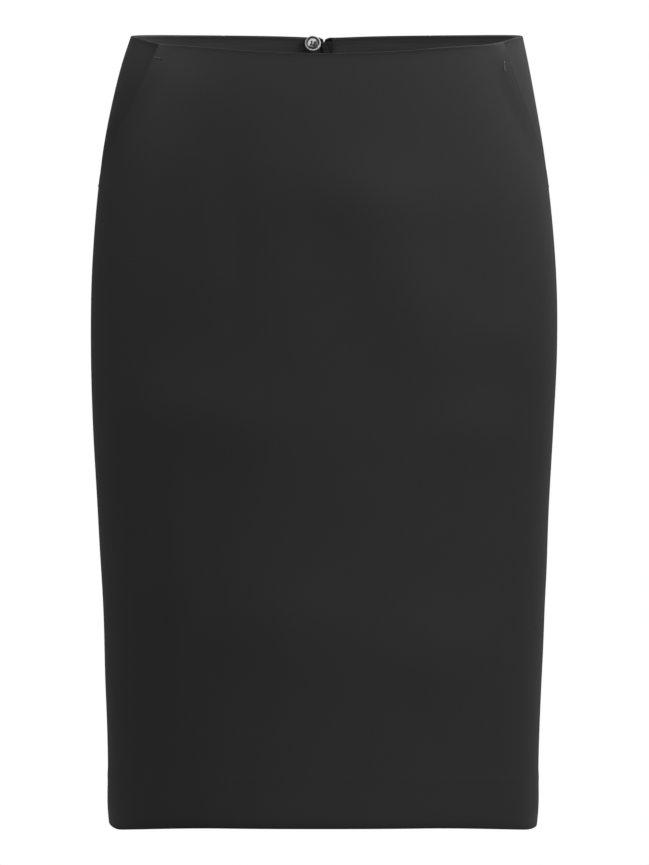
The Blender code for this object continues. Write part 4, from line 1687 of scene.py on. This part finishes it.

# The painted highlight's pale side, and the stretches over which it comes and goes across the dish and out
# to the rim, whose painted highlight falls to the other side.
PAINTED_HIGHLIGHT_TOWARDS = (-0.62, 0.0, 0.78)
PAINTED_HIGHLIGHT_ACROSS = (-0.22, 0.30)
PAINTED_HIGHLIGHT_DISH = (0.62, 0.69)
PAINTED_HIGHLIGHT_RIM = (0.80, 0.86)
PAINTED_HIGHLIGHT_RIM_TONE = 0.54
PAINTED_HIGHLIGHT_RIM_FALL = 0.30


class SKIRT_OT_button(bpy.types.Operator):
    """Makes the four-hole button inside the back waist, and the thread that holds it"""

    bl_idname = "skirt.button"
    bl_label = "Waist Button"

    def execute(self, context):
        axes = self.axes()
        self.button(axes, context.scene.skirt_trim.button_radius)
        self.thread(axes)
        return {"FINISHED"}

    def axes(self):
        """The button's place: Z out of its face, which looks into the skirt."""
        place = -1.0 + BUTTON_FROM_CENTRE / half_girth(BUTTON_BELOW_EDGE)
        origin, out = on_cloth(place, BUTTON_BELOW_EDGE)
        facing_in = (-out).to_track_quat("Z", "Y").to_matrix().to_4x4()
        droop = Matrix.Rotation(BUTTON_DROOP, 4, "X")
        turned = Matrix.Rotation(BUTTON_TURN, 4, "Z")
        return Matrix.Translation(origin - out * BUTTON_INSIDE) @ droop @ facing_in @ turned

    def button(self, axes, radius):
        """Turns the button ring by ring from a disc, then drills it."""
        first = BUTTON_PROFILE[0]
        deselect_all()
        bpy.ops.mesh.primitive_circle_add(
            vertices=BUTTON_STEPS, radius=first.radius * radius, fill_type="NGON"
        )
        made = bpy.context.object
        with all_selected():
            for before, ring in zip(BUTTON_PROFILE, BUTTON_PROFILE[1:]):
                rise = (ring.height - before.height) * radius
                bpy.ops.mesh.extrude_region_move(TRANSFORM_OT_translate={"value": (0.0, 0.0, rise)})
                scale = ring.radius / before.radius
                bpy.ops.transform.resize(value=(scale, scale, 1.0), center_override=(0.0, 0.0, 0.0))
            bpy.ops.mesh.select_all(action="SELECT")
            face_outwards()
        for x in (-HOLE_OUT, HOLE_OUT):
            for y in (-HOLE_OUT, HOLE_OUT):
                self.drill(made, x, y)
        rounding = {"segments": 2, "limit_method": "ANGLE", "angle_limit": HOLE_BEVEL_FROM}
        use_modifier(made, "BEVEL", width=HOLE_BEVEL, **rounding)
        self.lay_painted_highlight(made, axes, radius)
        set_down(made, axes, BUTTON_HARD_EDGE)
        finish_piece(made, "button_gloss", button_material(), nodes=("waist_button",))

    def lay_painted_highlight(self, made, axes, radius):
        """Marks how pale the button is: its dish to one side, and its rim a little to the other."""
        towards = axes.to_3x3().transposed() @ Vector(PAINTED_HIGHLIGHT_TOWARDS)
        places = np.empty(len(made.data.vertices) * 3)
        made.data.vertices.foreach_get("co", places)
        places = places.reshape(-1, 3) / radius
        out = np.hypot(places[:, 0], places[:, 1])
        side = places[:, 0] * towards.x + places[:, 1] * towards.y
        # Painted highlight on the dish to one side and on the rim to the other; the groove and the far side
        # of the dish stay dark.
        dish = step(*PAINTED_HIGHLIGHT_ACROSS, side) * (1.0 - step(*PAINTED_HIGHLIGHT_DISH, out))
        rim = step(*PAINTED_HIGHLIGHT_RIM, out) * (PAINTED_HIGHLIGHT_RIM_TONE - PAINTED_HIGHLIGHT_RIM_FALL * side)
        mark_points(made.data, "painted_highlight", "FLOAT", np.clip(dish + rim, 0.0, 1.0).astype(np.float32))

    def drill(self, made, x, y):
        """One thread hole."""
        deselect_all()
        bpy.ops.mesh.primitive_cylinder_add(
            vertices=HOLE_STEPS, radius=HOLE_RADIUS, depth=DRILL_LENGTH, location=(x, y, 0.0)
        )
        cutter = bpy.context.object
        apply_place(cutter)
        cut_out(made, cutter)

    def thread(self, axes):
        """Three strands between each pair of holes, and the shank behind."""
        turn = np.array(axes.to_3x3())
        up, out = turn[:, 1], turn[:, 2]
        stitches = []
        for x in (-HOLE_OUT, HOLE_OUT):
            for shift in (-STRAND_SHIFT, 0.0, STRAND_SHIFT):
                middle = axes @ Vector((x + shift, 0.0, STRAND_HEIGHT - abs(shift) * STRAND_CROWN))
                stitches.append(Stitch(np.array(middle), up, out))
            for y in (-HOLE_OUT, HOLE_OUT):
                middle = axes @ Vector((x, y, SHANK_HEIGHT))
                stitches.append(Stitch(np.array(middle), out, up))
        thread_run("button_thread", stitches, BUTTON_STRAND, thread_material())


# ---- Studio --------------------------------------------------------------------------------------------

PIXEL = 0.0007682
FRAME_SIZE = (649, 865)
WAIST_LEVEL_PIXEL = 35.5
CAMERA_ELEVATION = math.radians(1.7)
CAMERA_DISTANCE = 22.0
SENSOR_WIDTH = 36.0
FLOOR_RADIUS = 4.3
FLOOR_STEPS = 96
FLOOR_TONES = ((0.46, 0.46, 0.46), (0.50, 0.50, 0.50))
FLOOR_GLOW = (0.62, 1.0)
FLOOR_GLOW_REACH = (0.9, 2.4)
WHITE = (1.0, 1.0, 1.0, 1.0)
SKIRT_MIDDLE = (0.0, 0.0, -0.3)


class Lamp(NamedTuple):
    """A soft lamp: where it stands, how wide it is, and its power in watts."""

    name: str
    place: tuple
    size: float
    power: float


LAMPS = (
    Lamp("key_lamp", (1.5, -1.4, 1.0), 1.2, 16.9),
    Lamp("top_lamp", (0.3, -1.5, 1.7), 1.2, 13.0),
    Lamp("front_lamp", (0.3, -2.3, 0.1), 1.6, 8.2),
    Lamp("low_lamp_left", (1.9, -0.9, 0.2), 1.2, 5.4),
    Lamp("hip_lamp_left", (0.75, 0.35, 0.65), 0.35, 12.9),
    Lamp("over_lamp_left", (0.6, 0.9, 2.3), 0.9, 10.0),
    Lamp("side_lamp_right", (-1.6, -0.3, 1.6), 1.2, 35.3),
    Lamp("back_lamp_left", (1.2, 1.8, 1.5), 1.2, 22.0),
    Lamp("back_lamp_right", (-0.8, 1.9, 1.7), 1.2, 20.0),
)


def seen_by_camera(tree):
    """1 where the camera itself sees a surface, and 0 where its light falls on other things."""
    return new_node(tree, "ShaderNodeLightPath").outputs["Is Camera Ray"]


class SKIRT_OT_studio(bpy.types.Operator):
    """Sets up the pale floor, the soft lights and the camera"""

    bl_idname = "skirt.studio"
    bl_label = "Studio"

    def execute(self, context):
        settings = context.scene.skirt_studio
        self.floor(settings.floor_drop)
        for lamp in LAMPS:
            self.light(lamp, settings.lamp_strength)
        self.world(settings.world_strength)
        self.camera()
        context.scene.view_settings.view_transform = "Standard"
        return {"FINISHED"}

    def floor(self, drop):
        """A wide pale floor below the hem."""
        deselect_all()
        bpy.ops.mesh.primitive_circle_add(vertices=FLOOR_STEPS, radius=FLOOR_RADIUS, fill_type="NGON")
        floor = bpy.context.object
        floor.location = (0.0, 0.0, -LENGTH - drop)
        floor.name = "floor"
        apply_place(floor)
        floor.data.materials.append(self.floor_material())

    def floor_material(self):
        """A pale floor that glows white far out, for the camera alone, so that it meets the room unseen."""
        made, tree, shader = principled(
            "Pale floor", Roughness=0.85, Specular_IOR_Level=0.2, Emission_Color=WHITE
        )
        mottle = use_group(tree, cloud_group(), Size=0.4)["Mottle"]
        link(tree, blend_colour(tree, mottle, *FLOOR_TONES), shader["Base Color"])
        place = object_place(tree)
        level = new_node(tree, "ShaderNodeVectorMath", "MULTIPLY", i0=place, i1=(1.0, 1.0, 0.0))
        away = new_node(tree, "ShaderNodeVectorMath", "LENGTH", i0=level.outputs[0]).outputs["Value"]
        near, far = FLOOR_GLOW_REACH
        spread = new_node(tree, "ShaderNodeMapRange", Value=away, From_Min=near, From_Max=far)
        glow = blend_value(tree, spread.outputs["Result"], *FLOOR_GLOW)
        link(tree, maths(tree, "MULTIPLY", seen_by_camera(tree), glow), shader["Emission Strength"])
        return made

    def light(self, lamp, strength):
        """A soft square lamp that looks at the middle of the skirt."""
        data = bpy.data.lights.new(lamp.name, "AREA")
        data.size = lamp.size
        data.energy = lamp.power * strength
        made = bpy.data.objects.new(lamp.name, data)
        bpy.context.collection.objects.link(made)
        made.location = lamp.place
        made.visible_camera = False
        towards = Vector(SKIRT_MIDDLE) - Vector(lamp.place)
        made.rotation_euler = towards.to_track_quat("-Z", "Y").to_euler()

    def world(self, strength):
        """An even pale room, white behind the skirt."""
        world = bpy.data.worlds.new("Pale room")
        bpy.context.scene.world = world
        world.use_nodes = True
        tree = world.node_tree
        shade = tree.nodes["Background"]
        shade.inputs["Color"].default_value = WHITE
        link(tree, blend_value(tree, seen_by_camera(tree), strength, 1.0), shade.inputs["Strength"])

    def camera(self):
        """A far camera, level with the hips and looking very slightly down."""
        data = bpy.data.cameras.new("camera")
        half_height = FRAME_SIZE[1] * PIXEL / 2
        data.sensor_width = SENSOR_WIDTH
        data.lens = SENSOR_WIDTH / 2 * CAMERA_DISTANCE / half_height
        data.clip_end = 2 * CAMERA_DISTANCE
        made = bpy.data.objects.new("camera", data)
        bpy.context.collection.objects.link(made)
        back = Vector((0.0, -math.cos(CAMERA_ELEVATION), math.sin(CAMERA_ELEVATION)))
        middle = Vector((0.0, 0.0, -(FRAME_SIZE[1] / 2 - WAIST_LEVEL_PIXEL) * PIXEL))
        made.location = middle + back * CAMERA_DISTANCE
        made.rotation_euler = (math.pi / 2 - CAMERA_ELEVATION, 0.0, 0.0)
        bpy.context.scene.camera = made


# ---- Add-on --------------------------------------------------------------------------------------------

SETTINGS = {"skirt_cloth": ClothSettings, "skirt_trim": TrimSettings, "skirt_studio": StudioSettings}

OPERATORS = (
    SKIRT_OT_studio,
    SKIRT_OT_front,
    SKIRT_OT_hips,
    SKIRT_OT_backs,
    SKIRT_OT_allowances,
    SKIRT_OT_facings,
    SKIRT_OT_zip,
    SKIRT_OT_button,
    SKIRT_OT_stitching,
)


class SKIRT_PT_panel(bpy.types.Panel):
    """Buttons that make each part of the skirt"""

    bl_idname = "SKIRT_PT_panel"
    bl_label = "Pencil Skirt"
    bl_space_type = "VIEW_3D"
    bl_region_type = "UI"
    bl_category = "Skirt"

    def draw(self, context):
        for name in SETTINGS:
            group = getattr(context.scene, name)
            box = self.layout.box()
            for key in group.__annotations__:
                box.prop(group, key)
        for operator in OPERATORS:
            self.layout.operator(operator.bl_idname)


CLASSES = (*SETTINGS.values(), *OPERATORS, SKIRT_PT_panel)


def register():
    for made in CLASSES:
        bpy.utils.register_class(made)
    for name, settings in SETTINGS.items():
        setattr(bpy.types.Scene, name, PointerProperty(type=settings))


def unregister():
    for name in SETTINGS:
        delattr(bpy.types.Scene, name)
    for made in reversed(CLASSES):
        bpy.utils.unregister_class(made)


def main():
    register()
    for operator in OPERATORS:
        group, name = operator.bl_idname.split(".")
        getattr(getattr(bpy.ops, group), name)()
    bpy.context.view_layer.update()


if __name__ == "__main__":
    main()
